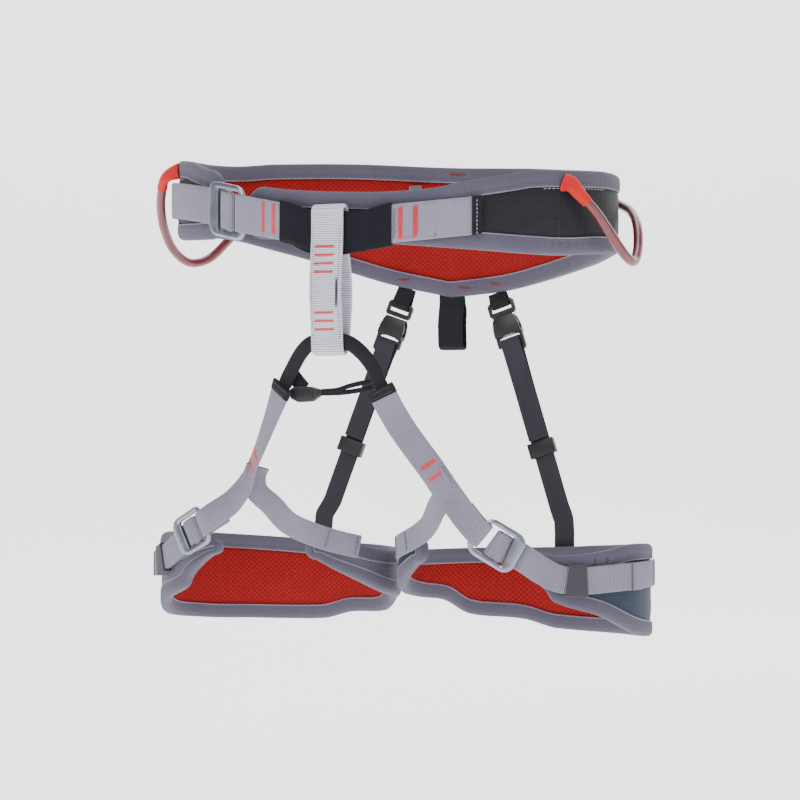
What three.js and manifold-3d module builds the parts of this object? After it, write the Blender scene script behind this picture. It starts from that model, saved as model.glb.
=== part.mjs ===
// A climbing sit harness: padded waist belt, two padded leg loops, tie-in webbing with a belay
// loop, a bridge and front straps, rear risers, gear loops and a haul loop.
// Millimetres. +Z up, the front faces -Y, the wearer's left side is +X (side = 1).
// The origin is the centre of the waist opening, level with the middle of the belt.
import * as THREE from 'three';
import Module from 'manifold-3d';
import { mergeVertices } from 'three/addons/utils/BufferGeometryUtils.js';

const wasm = await Module();
wasm.setup();

// ---- driving dimensions ----
const DEG = Math.PI / 180;
const GAP = 0.35;                        // between pieces that touch

const WAIST = { a: 157, b: 105 };        // half axes of the belt's middle surface, seen from above
const WAIST_TILT = 10;                   // the wearer's right side hangs higher, the left side lower
const WAIST_PAD = { from: -24, to: 325, half: 4.0, rim: 10.5, corner: 14, columns: 54 };
const WAIST_TOP = [[0, 15], [13, 16], [26, 20], [35, 26], [48, 33], [54, 36], [81, 40], [100, 40.5],
  [113, 42], [127, 46], [153, 50], [180, 50]];
const WAIST_BOTTOM = [[0, -16.5], [30, -18], [60, -18.5], [80, -15], [110, -13], [130, -20],
  [140, -25], [150, -31], [163, -39], [180, -46]];

const LEG = { x: 93.6, y: 8, a: 85, b: 70 };   // centre and half axes of a leg loop
const LEG_PAD = { from: 7, to: 325, half: 3.5, rim: 9.5, corner: 12, columns: 38 };
const LEG_TOP = [[7, -219], [20, -221], [34, -224], [54, -222], [75, -218], [110, -220], [130, -222],
  [160, -225], [180, -227], [210, -228], [270, -227], [300, -221], [325, -213]];
const LEG_BOTTOM = [[7, -228], [13, -231], [27, -246], [31, -254], [54, -264], [78, -277],
  [110, -283], [133, -285], [180, -285], [197, -279], [225, -275], [239, -265], [259, -261],
  [281, -255], [307, -241], [325, -228]];

const LABEL_THICK = 0.55;
const RIM_PROUD = 0.6;                   // the binding stands this far proud of the pad's faces
const SKIN = 1.0;                        // thickness of a pad's shell and lining
const BELT_FACE = WAIST_PAD.half + RIM_PROUD;
const LEG_FACE = LEG_PAD.half + RIM_PROUD;

const WAIST_WEB = { width: 25, thick: 1.8 };
const LEG_WEB = { width: 18, thick: 1.6 };
const ELASTIC = { width: 15, thick: 1.4 };
// Height of the waist webbing's centre line round the belt, by angle from the front
const WAIST_WEB_Z = [[-128, 18], [-105, 21], [-69, 19.5], [-42, 12.5], [-24, 3], [-11, -4],
  [-2, -9], [12, -9], [20, -7], [39, -2], [48, 0]];
const TIE_IN = { left: 38.5, lift: 4.2, middle: 3, flat: 15.5, fade: 13, narrow: 18 };
const SLEEVE = { from: -11, to: 17, wall: 0.9 };
const SLEEVE_TOP = [[-11, 10.5], [-6, 6], [-3, 1.5], [11, 1.5], [17, 5.5]];
const SLEEVE_BOTTOM = [[-11, -15], [-4, -25], [3, -27.5], [10, -25.5], [17, -22.5]];
const WAIST_BUCKLE = { angle: -28, half: 17, plate: 9, bar: 5, rail: 4.2, slot: 14.2, level: 4.9,
  deep: 2.4, flip: 1 };
const WAIST_STRAP = { anchor: -113, tail: -97, keeper: -88 };

const BELAY = { x: 5.5, width: 23, thick: 2.2 };
const BRIDGE_END = { left: [37, -107, -110], right: [-30, -107, -108.5] };
const BRIDGE_SIZE = { tall: 10, deep: 4.6 };
const HAUL = { width: 19.5, thick: 1.9 };
const GEAR_TUBE = 3.3;                   // radius of a gear loop's tube

const RISER_TOP = { x: 41, y: 101.4, z: -55.2 };
const RISER_FOOT = { x: 96, y: 85.2, z: -214 };

// ---- small mathematical helpers ----
const vec = (x, y, z) => new THREE.Vector3(x, y, z);
const clamp = (value, low, high) => Math.min(Math.max(value, low), high);
const range = (from, to, steps) => Array.from({ length: steps + 1 },
  (_, i) => from + (to - from) * i / steps);

// A smooth curve through rows of [x, y].
function smooth(rows) {
  const slope = rows.map((row, i) => {
    const before = rows[Math.max(i - 1, 0)];
    const after = rows[Math.min(i + 1, rows.length - 1)];
    return (after[1] - before[1]) / (after[0] - before[0]);
  });
  return (x) => {
    const found = rows.findIndex((row) => row[0] >= x);
    const i = found < 0 ? rows.length - 1 : Math.max(found, 1);
    const [x0, y0] = rows[i - 1];
    const [x1, y1] = rows[i];
    const h = x1 - x0;
    const t = clamp((x - x0) / h, 0, 1);
    return (1 + 2 * t) * (1 - t) ** 2 * y0 + t * (1 - t) ** 2 * h * slope[i - 1]
      + t * t * (3 - 2 * t) * y1 + t * t * (t - 1) * h * slope[i];
  };
}

const rise = (x, from, to) => THREE.MathUtils.smoothstep(x, from, to);

// Points on an arc in a plane of two coordinates.
function arc(u, v, radius, from, to, steps) {
  return range(from, to, steps)
    .map((angle) => [u + radius * Math.cos(angle * DEG), v + radius * Math.sin(angle * DEG)]);
}

// A line of points with its long spans divided.
function divided(points, longest) {
  const line = [points[0]];
  for (let i = 1; i < points.length; i += 1) {
    const [a, b] = [points[i - 1], points[i]];
    const count = Math.max(1, Math.ceil(Math.hypot(...b.map((value, k) => value - a[k])) / longest));
    for (let j = 1; j <= count; j += 1) {
      line.push(a.map((value, k) => value + (b[k] - value) * j / count));
    }
  }
  return line;
}

// ---- closed bodies ----
// A body through a row of rings, each with the same number of points. An open one gets flat caps.
function loft(rings, closed = false) {
  const size = rings[0].length;
  const position = rings.flat().flatMap((p) => [p.x, p.y, p.z]);
  const index = [];
  const spans = closed ? rings.length : rings.length - 1;
  for (let i = 0; i < spans; i += 1) {
    const a = i * size;
    const b = ((i + 1) % rings.length) * size;
    for (let k = 0; k < size; k += 1) {
      const next = (k + 1) % size;
      index.push(a + k, a + next, b + next, a + k, b + next, b + k);
    }
  }
  if (!closed) {
    const last = (rings.length - 1) * size;
    for (let k = 1; k < size - 1; k += 1) {
      index.push(0, k + 1, k, last, last + k, last + k + 1);
    }
  }
  const geometry = new THREE.BufferGeometry();
  geometry.setAttribute('position', new THREE.Float32BufferAttribute(position, 3));
  geometry.setIndex(volume(position, index) < 0 ? index.reverse() : index);
  return geometry;
}

function volume(position, index) {
  const corner = (i) => vec(position[3 * i], position[3 * i + 1], position[3 * i + 2]);
  let total = 0;
  for (let i = 0; i < index.length; i += 3) {
    total += corner(index[i]).dot(corner(index[i + 1]).cross(corner(index[i + 2])));
  }
  return total / 6;
}

// A profile of [across, through] points carried along a line of points.
function sweep(points, across, profile, closed = false) {
  const count = points.length;
  const rings = points.map((point, i) => {
    const before = closed ? points[(i + count - 1) % count] : points[Math.max(i - 1, 0)];
    const after = closed ? points[(i + 1) % count] : points[Math.min(i + 1, count - 1)];
    const along = after.clone().sub(before).normalize();
    const wide = (Array.isArray(across) ? across[i] : across).clone();
    wide.addScaledVector(along, -wide.dot(along)).normalize();
    const through = along.clone().cross(wide);
    return profile.map(([u, v]) => point.clone().addScaledVector(wide, u).addScaledVector(through, v));
  });
  return loft(rings, closed);
}

const oblong = (width, thick) => [[-1, -1], [1, -1], [1, 1], [-1, 1]]
  .map(([u, v]) => [u * width / 2, v * thick / 2]);
const oval = (width, thick, sides) => range(0, 360, sides).slice(1)
  .map((angle) => [width / 2 * Math.cos(angle * DEG), thick / 2 * Math.sin(angle * DEG)]);

function asSolid(geometry) {
  const bare = geometry.index ? geometry.clone() : mergeVertices(stripped(geometry), 1e-4);
  return new wasm.Manifold(new wasm.Mesh({
    numProp: 3,
    vertProperties: new Float32Array(bare.attributes.position.array),
    triVerts: new Uint32Array(bare.index.array),
  }));
}

function stripped(geometry) {
  const bare = geometry.clone();
  bare.deleteAttribute('normal');
  bare.deleteAttribute('uv');
  return bare;
}

function asGeometry(solid) {
  const mesh = solid.getMesh();
  const geometry = new THREE.BufferGeometry();
  geometry.setAttribute('position', new THREE.Float32BufferAttribute(mesh.vertProperties, 3));
  geometry.setIndex(Array.from(mesh.triVerts));
  return geometry;
}

function joined(geometries) {
  return asGeometry(geometries.map(asSolid).reduce((sum, solid) => sum.add(solid)));
}

// ---- the model ----
const harness = new THREE.Group();
const FINISHES = {
  bindingFabric: { color: 0x77757f, roughness: 0.85, metalness: 0 },
  meshLining: { color: 0xb3201b, roughness: 0.9, metalness: 0 },
  foam: { color: 0x55555c, roughness: 0.95, metalness: 0 },
  blackShell: { color: 0x26262e, roughness: 0.7, metalness: 0 },
  greyShell: { color: 0x6c6a74, roughness: 0.85, metalness: 0 },
  blueShell: { color: 0x4b5f6e, roughness: 0.75, metalness: 0 },
  greyWebbing: { color: 0x9c98a4, roughness: 0.8, metalness: 0 },
  paleWebbing: { color: 0xbdbdc6, roughness: 0.75, metalness: 0 },
  blackWebbing: { color: 0x1d1d24, roughness: 0.8, metalness: 0 },
  charcoalElastic: { color: 0x44404a, roughness: 0.9, metalness: 0 },
  greyElastic: { color: 0x5d5b5b, roughness: 0.9, metalness: 0 },
  aluminium: { color: 0xb4b8bd, roughness: 0.35, metalness: 1 },
  blackPlastic: { color: 0x1c1d22, roughness: 0.5, metalness: 0 },
  maroonTube: { color: 0x6c2a30, roughness: 0.3, metalness: 0 },
  redCover: { color: 0xd41f22, roughness: 0.6, metalness: 0 },
  labelFabric: { color: 0x8b8b90, roughness: 0.9, metalness: 0 },
};

function add(name, geometry, finish) {
  const mesh = new THREE.Mesh(geometry, new THREE.MeshStandardMaterial(FINISHES[finish]));
  mesh.name = name;
  harness.add(mesh);
}

// ---- surfaces: the belt's and the leg loops' middle surfaces ----
// Each surface gives the place of a point from its angle, its height and its distance outwards.
const waistSurface = {
  place(angle, out, z) {
    const [s, c] = [Math.sin(angle * DEG), Math.cos(angle * DEG)];
    const normal = vec(WAIST.b * s, -WAIST.a * c, 0).normalize();
    return vec(WAIST.a * s, -WAIST.b * c, z).addScaledVector(normal, out);
  },
  normal(angle) {
    return vec(WAIST.b * Math.sin(angle * DEG), -WAIST.a * Math.cos(angle * DEG), 0).normalize();
  },
  perDegree(angle) {
    return Math.hypot(WAIST.a * Math.cos(angle * DEG), WAIST.b * Math.sin(angle * DEG)) * DEG;
  },
};

const legSurface = (side) => ({
  place(angle, out, z) {
    const [s, c] = [Math.sin(angle * DEG), Math.cos(angle * DEG)];
    const normal = vec(side * LEG.b * s, -LEG.a * c, 0).normalize();
    return vec(side * (LEG.x + LEG.a * s), LEG.y - LEG.b * c, z).addScaledVector(normal, out);
  },
  normal(angle) {
    return vec(side * LEG.b * Math.sin(angle * DEG), -LEG.a * Math.cos(angle * DEG), 0).normalize();
  },
  perDegree(angle) {
    return Math.hypot(LEG.a * Math.cos(angle * DEG), LEG.b * Math.sin(angle * DEG)) * DEG;
  },
});

const fromFront = (angle) => (angle > 180 ? 360 - angle : Math.abs(angle));
const waistTopCurve = smooth(WAIST_TOP);
const waistBottomCurve = smooth(WAIST_BOTTOM);
const tilt = (angle) => -WAIST_TILT * Math.sin(angle * DEG);
const waistEdges = {
  top: (angle) => waistTopCurve(fromFront(angle)) + tilt(angle),
  bottom: (angle) => waistBottomCurve(fromFront(angle)) + tilt(angle),
};
const legEdges = { top: smooth(LEG_TOP), bottom: smooth(LEG_BOTTOM) };

// ---- pads: foam, shell, lining and the binding round their edge ----
function pad(prefix, surface, edges, size, shellFinish) {
  const height = (angle) => edges.top(angle) - edges.bottom(angle);
  const rimWidth = (angle) => Math.min(size.rim, 0.35 * height(angle));

  // The binding runs along the top edge, round one end, back along the bottom and round the other.
  function cornerPoints(end, direction) {
    const atEnd = direction > 0 ? size.to : size.from;
    const perDegree = surface.perDegree(atEnd);
    const radius = Math.min(size.corner, 0.49 * height(atEnd));
    const inner = radius - rimWidth(atEnd);
    const centre = atEnd - direction * radius / perDegree;
    const points = [];
    for (const half of (direction > 0 ? [1, -1] : [-1, 1])) {
      const z = half > 0 ? edges.top(centre) - radius : edges.bottom(centre) + radius;
      const turn = range(half * direction > 0 ? 90 : 0, half * direction > 0 ? 0 : 90, 3);
      for (const angle of turn) {
        const [s, c] = [Math.sin(angle * DEG), Math.cos(angle * DEG)];
        points.push([centre + direction * radius * c / perDegree, z + half * radius * s,
          centre + direction * inner * c / perDegree, z + half * inner * s]);
      }
    }
    return points;
  }
  const inset = (atEnd) => Math.min(size.corner, 0.49 * height(atEnd)) / surface.perDegree(atEnd) + 1.5;
  const columns = range(size.from + inset(size.from), size.to - inset(size.to), size.columns);
  const outline = [
    ...columns.map((angle) => [angle, edges.top(angle), angle, edges.top(angle) - rimWidth(angle)]),
    ...cornerPoints(size.to, 1),
    ...[...columns].reverse()
      .map((angle) => [angle, edges.bottom(angle), angle, edges.bottom(angle) + rimWidth(angle)]),
    ...cornerPoints(size.from, -1),
  ];
  const face = size.half + RIM_PROUD;
  add(`${prefix}_binding`, loft(outline.map(([angle, z, innerAngle, innerZ]) => [
    surface.place(angle, -face, z), surface.place(angle, face, z),
    surface.place(innerAngle, face, innerZ), surface.place(innerAngle, -face, innerZ),
  ]), true), 'bindingFabric');

  // The three layers fill the space inside the binding.
  function layer(name, from, to, finish) {
    const first = size.from + (rimWidth(size.from) + GAP) / surface.perDegree(size.from);
    const last = size.to - (rimWidth(size.to) + GAP) / surface.perDegree(size.to);
    const rows = [first, ...columns.filter((angle) => angle > first + 0.5 && angle < last - 0.5), last];
    const rings = rows.map((angle) => {
      const short = angle === first || angle === last ? 0.12 * height(angle) : 0;
      const low = edges.bottom(angle) + rimWidth(angle) + GAP + short;
      const high = edges.top(angle) - rimWidth(angle) - GAP - short;
      return [[from, low], [to, low], [to, high], [from, high]]
        .map(([out, z]) => surface.place(angle, out, z));
    });
    add(`${prefix}_${name}`, loft(rings), finish);
  }
  layer('foam', -size.half + SKIN + GAP, size.half - SKIN - GAP, 'foam');
  layer('shell', size.half - SKIN, size.half, shellFinish);
  layer('lining', -size.half, -size.half + SKIN, 'meshLining');
}

// ---- runs: the line that a strap follows, with its outward normal and its width direction ----
class Run {
  constructor(frames) {
    this.frames = frames;
    this.lengths = [0];
    for (let i = 1; i < frames.length; i += 1) {
      this.lengths.push(this.lengths[i - 1] + frames[i].point.distanceTo(frames[i - 1].point));
    }
  }

  // The place at a distance along the run, out from its face and across it.
  at(along, out, across) {
    const count = this.lengths.length;
    const found = this.lengths.findIndex((length) => length >= along);
    const i = clamp(found < 0 ? count - 1 : found, 1, count - 1);
    const t = (along - this.lengths[i - 1]) / (this.lengths[i] - this.lengths[i - 1]);
    const mix = (key) => this.frames[i - 1][key].clone().lerp(this.frames[i][key], t);
    return mix('point')
      .addScaledVector(mix('normal').normalize(), out)
      .addScaledVector(mix('wide').normalize(), across);
  }

  nearest(target) {
    const gaps = this.frames.map((frame) => frame.point.distanceTo(target));
    return this.lengths[gaps.indexOf(Math.min(...gaps))];
  }
}

// A flat strap on a run, through points of [along, out].
function strap(run, points, web, widthAt = () => web.width) {
  const line = divided(points, 7);
  const rings = line.map((point, i) => {
    const before = line[Math.max(i - 1, 0)];
    const after = line[Math.min(i + 1, line.length - 1)];
    const length = Math.hypot(after[0] - before[0], after[1] - before[1]);
    const [u, v] = [-(after[1] - before[1]) / length, (after[0] - before[0]) / length];
    const half = web.thick / 2;
    const low = [point[0] - half * u, point[1] - half * v];
    const high = [point[0] + half * u, point[1] + half * v];
    return [[low, -1], [low, 1], [high, 1], [high, -1]]
      .map(([at, hand]) => run.at(at[0], at[1], hand * widthAt(at[0]) / 2));
  });
  return loft(rings);
}

// A band that goes over the straps of a run, through points of [across, out] on its outer face.
function band(run, from, to, points, wall, closed = false) {
  const middle = points
    .reduce((sum, p) => [sum[0] + p[0] / points.length, sum[1] + p[1] / points.length], [0, 0]);
  const inner = points.map(([u, v]) => [
    u - Math.sign(u - middle[0]) * wall,
    closed || v > 1 ? v - Math.sign(v - middle[1]) * wall : v,
  ]);
  const steps = Math.max(1, Math.ceil((to - from) / 7));
  const places = range(from, to, steps);
  return loft(points.map((point, k) => [
    ...places.map((along) => run.at(along, point[1], point[0])),
    ...[...places].reverse().map((along) => run.at(along, inner[k][1], inner[k][0])),
  ]), closed);
}

// ---- buckles: a frame with two end bars, a lock bar between them, and the strap round it ----
// Distances along the run are from the buckle's centre; the free strap comes from its far end.
function buckleFrame(run, centre, buckle) {
  const outline = (half, halfWidth, corner) => {
    const points = [];
    for (const [u, v, from] of [[1, 1, 0], [-1, 1, 90], [-1, -1, 180], [1, -1, 270]]) {
      points.push(...arc(u * (half - corner), v * (halfWidth - corner), corner, from, from + 90, 4));
    }
    return points;
  };
  const windowFrom = -buckle.half + buckle.plate;
  const windowTo = buckle.half - buckle.bar;
  const windowHalf = (windowTo - windowFrom) / 2;
  const windowMiddle = (windowTo + windowFrom) / 2;
  const outer = outline(buckle.half, buckle.slot + buckle.rail, 8);
  const inner = outline(windowHalf, buckle.slot, 1.5).map(([u, v]) => [u + windowMiddle, v]);
  return loft(outer.map((point, k) => [
    [point, buckle.level], [point, buckle.level + buckle.deep],
    [inner[k], buckle.level + buckle.deep], [inner[k], buckle.level],
  ].map(([[u, v], out]) => run.at(centre + buckle.flip * u, out, v))), true);
}

// Where the lock bar stands, from the buckle's centre.
const lockPlace = (buckle) => -buckle.half + buckle.plate + 7.6;

function lockBar(run, centre, buckle) {
  const middle = lockPlace(buckle);
  const profile = [[-2.8, 3.2], [-1.6, 2.9], [1.6, 2.9], [2.8, 3.2],
    [2.8, 4.9], [1.6, 5.4], [-1.6, 5.4], [-2.8, 4.9]];
  return loft([-1, 1].map((hand) => profile
    .map(([u, out]) => run.at(centre + buckle.flip * (middle + u), out, hand * (buckle.slot - 0.6)))));
}

// The free strap: from its anchor under the buckle, round the lock bar, and back as the tail.
function bucklePath(centre, buckle, anchor, tail, web) {
  const t = web.thick / 2;
  const low = 0.45 + t;
  const second = low + 2 * t + 0.35;
  const over = 5.9 + t;
  const middle = lockPlace(buckle);
  const radius = (over - low) / 2;
  const turn = arc(middle + 3.6, low + radius, radius, -90, 90, 8);
  const path = [[middle - 1, low], ...turn, [middle - 2.2, over], [middle - 3.8, over - 0.6],
    [middle - 5.4, (over + second) / 2 + 0.2], [middle - 7, second + 0.3], [middle - 8.6, second]];
  const placed = path.map(([u, out]) => [centre + buckle.flip * u, out]);
  return [[anchor, low], ...placed, [tail, second]];
}

// ---- waist belt ----
pad('waist', waistSurface, waistEdges, WAIST_PAD, 'blackShell');

const webHeight = smooth(WAIST_WEB_Z);
const waistRun = new Run(range(-128, 48, 88).map((angle) => ({
  point: waistSurface.place(angle, BELT_FACE, webHeight(angle)),
  normal: waistSurface.normal(angle),
  wide: vec(0, 0, 1),
})));
const alongWaist = (angle) => waistRun.nearest(waistSurface.place(angle, BELT_FACE, webHeight(angle)));

// The tie-in webbing lifts off the belt at the front, where the belay loop passes behind it.
function webLift(angle) {
  const away = Math.abs(angle - TIE_IN.middle);
  return TIE_IN.lift * (1 - rise(away, TIE_IN.flat, TIE_IN.flat + TIE_IN.fade));
}

function tieInWebbing() {
  const half = WAIST_WEB.thick / 2;
  const centre = alongWaist(WAIST_BUCKLE.angle);
  const barNear = centre + WAIST_BUCKLE.half - WAIST_BUCKLE.bar;
  const over = WAIST_BUCKLE.level + WAIST_BUCKLE.deep + 0.5 + half;
  const under = WAIST_BUCKLE.level - 0.5 - half;
  const radius = (over - under) / 2;
  const lifted = (angle) => (angle < TIE_IN.middle ? TIE_IN.lift : webLift(angle));
  const front = range(TIE_IN.left, SLEEVE.from - 5, 9)
    .map((angle) => [alongWaist(angle), 0.6 + half + lifted(angle)]);
  const turn = arc(barNear + 0.8, (over + under) / 2, radius, 90, 270, 8);
  return [...front, [barNear + 9, over - 0.6], [barNear + 5, over], ...turn,
    [barNear + 8, under - 0.2], [barNear + 22, 1.9]];
}

const waistBuckleAt = alongWaist(WAIST_BUCKLE.angle);
const frontAt = alongWaist(TIE_IN.middle);
const tieInWidth = (along) => TIE_IN.narrow
  + (WAIST_WEB.width - TIE_IN.narrow) * rise(Math.abs(along - frontAt), 14, 34);
add('tie_in_webbing', strap(waistRun, tieInWebbing(), WAIST_WEB, tieInWidth), 'greyWebbing');
add('waist_buckle_frame', buckleFrame(waistRun, waistBuckleAt, WAIST_BUCKLE), 'aluminium');
add('waist_buckle_lock_bar', lockBar(waistRun, waistBuckleAt, WAIST_BUCKLE), 'aluminium');
add('waist_strap', strap(waistRun, bucklePath(waistBuckleAt, WAIST_BUCKLE, alongWaist(WAIST_STRAP.anchor),
  alongWaist(WAIST_STRAP.tail), WAIST_WEB), WAIST_WEB), 'greyWebbing');

function keeper(run, centre, length, web) {
  const [side, top] = [web.width / 2 + 1.6, 0.45 + 2 * web.thick + 0.35 + 1.4];
  const half = [[side, 0.4], [side, top - 0.7], [side - 0.7, top]];
  const section = [...half.map(([u, v]) => [-u, v]), ...half.reverse()];
  return band(run, centre - length / 2, centre + length / 2, section, 0.9);
}
add('waist_strap_keeper', keeper(waistRun, alongWaist(WAIST_STRAP.keeper), 14, WAIST_WEB), 'greyElastic');

// The sleeve is a tube round the tie-in webbing, deepest beside the belay loop.
function sleeve() {
  const top = smooth(SLEEVE_TOP);
  const bottom = smooth(SLEEVE_BOTTOM);
  const half = WAIST_WEB.thick / 2;
  const inside = [0.6 + TIE_IN.lift - 0.35, 0.6 + TIE_IN.lift + 2 * half + 0.35];
  const outside = [inside[0] - SLEEVE.wall, inside[1] + SLEEVE.wall];
  const ring = (angle, [low, high], margin) => {
    const [up, down] = [top(angle) - webHeight(angle) - margin, bottom(angle) - webHeight(angle) + margin];
    const widest = tieInWidth(alongWaist(angle)) / 2 + 0.5 + (margin ? 0 : SLEEVE.wall);
    const upper = Math.max(up, widest);
    const lower = Math.min(down, -widest);
    return [[lower, low], [upper, low], [upper, high], [lower, high]]
      .map(([across, out]) => waistSurface.place(angle, BELT_FACE + out, webHeight(angle) + across));
  };
  const angles = range(SLEEVE.from, SLEEVE.to, 8);
  const outerRings = angles.map((angle) => ring(angle, outside, 0));
  const innerRings = angles.map((angle) => ring(angle, inside, SLEEVE.wall));
  return loft([0, 1, 2, 3].map((k) => [
    ...outerRings.map((points) => points[k]),
    ...[...innerRings].reverse().map((points) => points[k]),
  ]), true);
}
add('tie_in_sleeve', sleeve(), 'blackShell');

// A small folded tab lies over the tie-in webbing's end, and a size label inside the back.
const LABEL_TAB = { before: 4.5, after: 1.6, width: 25.4, thick: 0.8 };
const webEnd = alongWaist(TIE_IN.left);
const tabLevel = 0.6 + WAIST_WEB.thick + LABEL_TAB.thick;
const tabPath = [[webEnd - LABEL_TAB.before, tabLevel], [webEnd + LABEL_TAB.after, tabLevel]];
add('waist_label_tab', strap(waistRun, tabPath, LABEL_TAB), 'blackWebbing');

function sizeLabel(surface, angle, z, width, height, face) {
  const half = width / 2 / surface.perDegree(angle);
  const [near, far] = [-face - GAP, -face - GAP - LABEL_THICK];
  const section = [[far, -1], [near, -1], [near, 1], [far, 1]];
  return loft([angle - half, angle + half]
    .map((at) => section.map(([out, up]) => surface.place(at, out, z + up * height / 2))));
}
add('waist_size_label', sizeLabel(waistSurface, 190, 33, 10, 9, WAIST_PAD.half), 'labelFabric');

// ---- belay loop, bridge and its elastic ----
// The loop's middle line in the Y-Z plane: down the front, round the bridge and up the back.
const belayFront = -119.1;
const belayLine = [
  ...arc(-115.1, 0.8, 4, 180, 0, 8), [-111.1, -10], [-110.9, -22], [-107.5, -34], [-105.2, -48],
  [-105.4, -62], [-107.6, -75], [-110.3, -84], [-111.2, -87.8], [-112.8, -90.8], [-115.4, -92],
  [-117.9, -90.5], [belayFront, -87], [belayFront, -78], [belayFront, -30], [belayFront, -12],
];
add('belay_loop', sweep(belayLine.map(([y, z]) => vec(BELAY.x, y, z)), vec(1, 0, 0),
  oblong(BELAY.width, BELAY.thick), true), 'paleWebbing');

const bridgeCurve = new THREE.CatmullRomCurve3([
  vec(...BRIDGE_END.right), vec(-24, -109.5, -100), vec(-16, -113.2, -90.5), vec(-7.5, -115.2, -84.6),
  vec(5.5, -115.2, -83.2), vec(18.5, -115.2, -84.6), vec(26, -113.2, -90), vec(33, -109.5, -99.5),
  vec(...BRIDGE_END.left)]);
add('bridge', sweep(bridgeCurve.getSpacedPoints(22), vec(0, 1, 0),
  oval(BRIDGE_SIZE.deep, BRIDGE_SIZE.tall, 8)), 'blackWebbing');

const elasticLine = [
  vec(-6, -104.6, -117.4), vec(8, -103.6, -116.4), vec(22, -102.8, -114.4), vec(33.5, -102.6, -112.4)];
add('bridge_elastic', sweep(elasticLine, vec(0, 0, 1), oblong(5, 1.6)), 'blackWebbing');
const hook = new THREE.Shape([[-29, -115.5], [-27.5, -121], [-22, -123.6], [-12, -123], [-6.8, -119.5],
  [-6.8, -115], [-13, -113.2], [-24, -112.6]].map(([x, z]) => new THREE.Vector2(x, z)));
const hookGeometry = new THREE.ExtrudeGeometry(hook, { depth: 5, bevelEnabled: false });
hookGeometry.rotateX(Math.PI / 2);
hookGeometry.translate(0, -101.8, 0);
add('bridge_hook', hookGeometry, 'blackPlastic');
add('bridge_tab', sweep([vec(-26.5, -103.2, -102.5), vec(-23.6, -103.5, -105.5), vec(-21, -104, -108.6)],
  vec(1, 0, 0.6), oblong(10, 1.4)), 'blackWebbing');

// ---- haul loop ----
const haulY = WAIST.b + 0.4;
const haulLine = [[haulY + 1.4, -49.2], [haulY + 3.4, -56], [haulY + 3.9, -66], [haulY + 3.9, -79],
  ...arc(haulY, -80.2, 3.9, 0, -180, 8), [haulY - 3.9, -79], [haulY - 3.9, -66], [haulY - 3.4, -56],
  [haulY - 1.4, -49.2]];
add('haul_loop', sweep(haulLine.map(([y, z]) => vec(0, y, z)), vec(1, 0, 0),
  oblong(HAUL.width, HAUL.thick)), 'blackWebbing');

// ---- gear loops ----
// Rows of angle, distance out and height, from the front anchor to the back one.
const GEAR_ROWS = {
  left: [[64.5, 9, 19], [67, 12, 12], [71, 16.5, 1], [76, 20.5, -15], [81.5, 22, -27], [86, 22, -30],
    [91, 20.5, -22], [98, 17, -5], [109, 13, 8], [119, 10, 15], [123, 9, 19]],
  right: [[64.5, 9.5, 38], [66.2, 13.8, 35], [70, 16, 27], [76, 18, 15], [83, 19.5, 1], [91, 20.5, -13],
    [99, 20, -20.5], [106, 18, -17], [112, 14.5, -4], [118, 11.5, 12], [121.5, 10, 23], [123, 9, 30]],
};

function gearLoop(hand, side) {
  const points = GEAR_ROWS[hand].map(([angle, out, z]) => waistSurface.place(side * angle, out, z));
  const curve = new THREE.CatmullRomCurve3(points, false, 'centripetal');
  const part = (from, to, steps, radius) => {
    const line = new THREE.CatmullRomCurve3(range(from, to, steps).map((t) => curve.getPointAt(t)));
    const section = new THREE.Shape(oval(2 * radius, 2 * radius, 8).map(([u, v]) => new THREE.Vector2(u, v)));
    return new THREE.ExtrudeGeometry(section, { steps, bevelEnabled: false, extrudePath: line });
  };
  add(`gear_loop_${hand}_cover`, part(0, 0.115, 4, GEAR_TUBE + 0.4), 'redCover');
  add(`gear_loop_${hand}_tube`, part(0.118, 1, 26, GEAR_TUBE), 'maroonTube');
}
gearLoop('left', 1);
gearLoop('right', -1);

// ---- leg loops ----
// Rows of point and outward normal down the front strap, and of angle and height round the pad.
const LEG_STRAPS = {
  left: {
    free: [[37.6, -107.2, -113.6, 0.25, -0.95, 0], [47.6, -97.5, -138, 0.3, -0.93, 0.1],
      [65, -85.5, -167, 0.3, -0.93, 0.1], [74, -78.5, -183, 0.25, -0.95, 0.1],
      [86, -73.5, -199.5, 0.15, -0.98, 0.08], [96, -70.2, -210, 0.1, -0.99, 0.03]],
    round: [[9, -218.5], [17, -224.5], [26, -233.5], [35, -239.5], [47, -240], [60, -239], [75, -238.5],
      [104, -238.5]],
    buckle: 6, keeper: 41, tail: 76, anchor: 102,
  },
  right: {
    free: [[-31, -107.2, -112, -0.3, -0.95, 0], [-44, -98.5, -135, -0.55, -0.82, 0.1],
      [-62, -85.5, -163, -0.7, -0.7, 0.15], [-73, -79, -180, -0.5, -0.86, 0.1],
      [-88, -74.5, -193.5, -0.25, -0.96, 0.05], [-103, -71, -203, -0.15, -0.98, 0]],
    round: [[14, -209.5], [20, -214], [28, -221.5], [40, -231], [52, -236.5], [66, -239.5], [80, -241],
      [104, -241]],
    buckle: 18, keeper: 48, tail: 78, anchor: 102,
  },
};
const LEG_BUCKLE = { half: 17, plate: 8, bar: 4.6, rail: 3.8, slot: 10.4, level: 4.7, deep: 2.2, flip: -1 };

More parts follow.
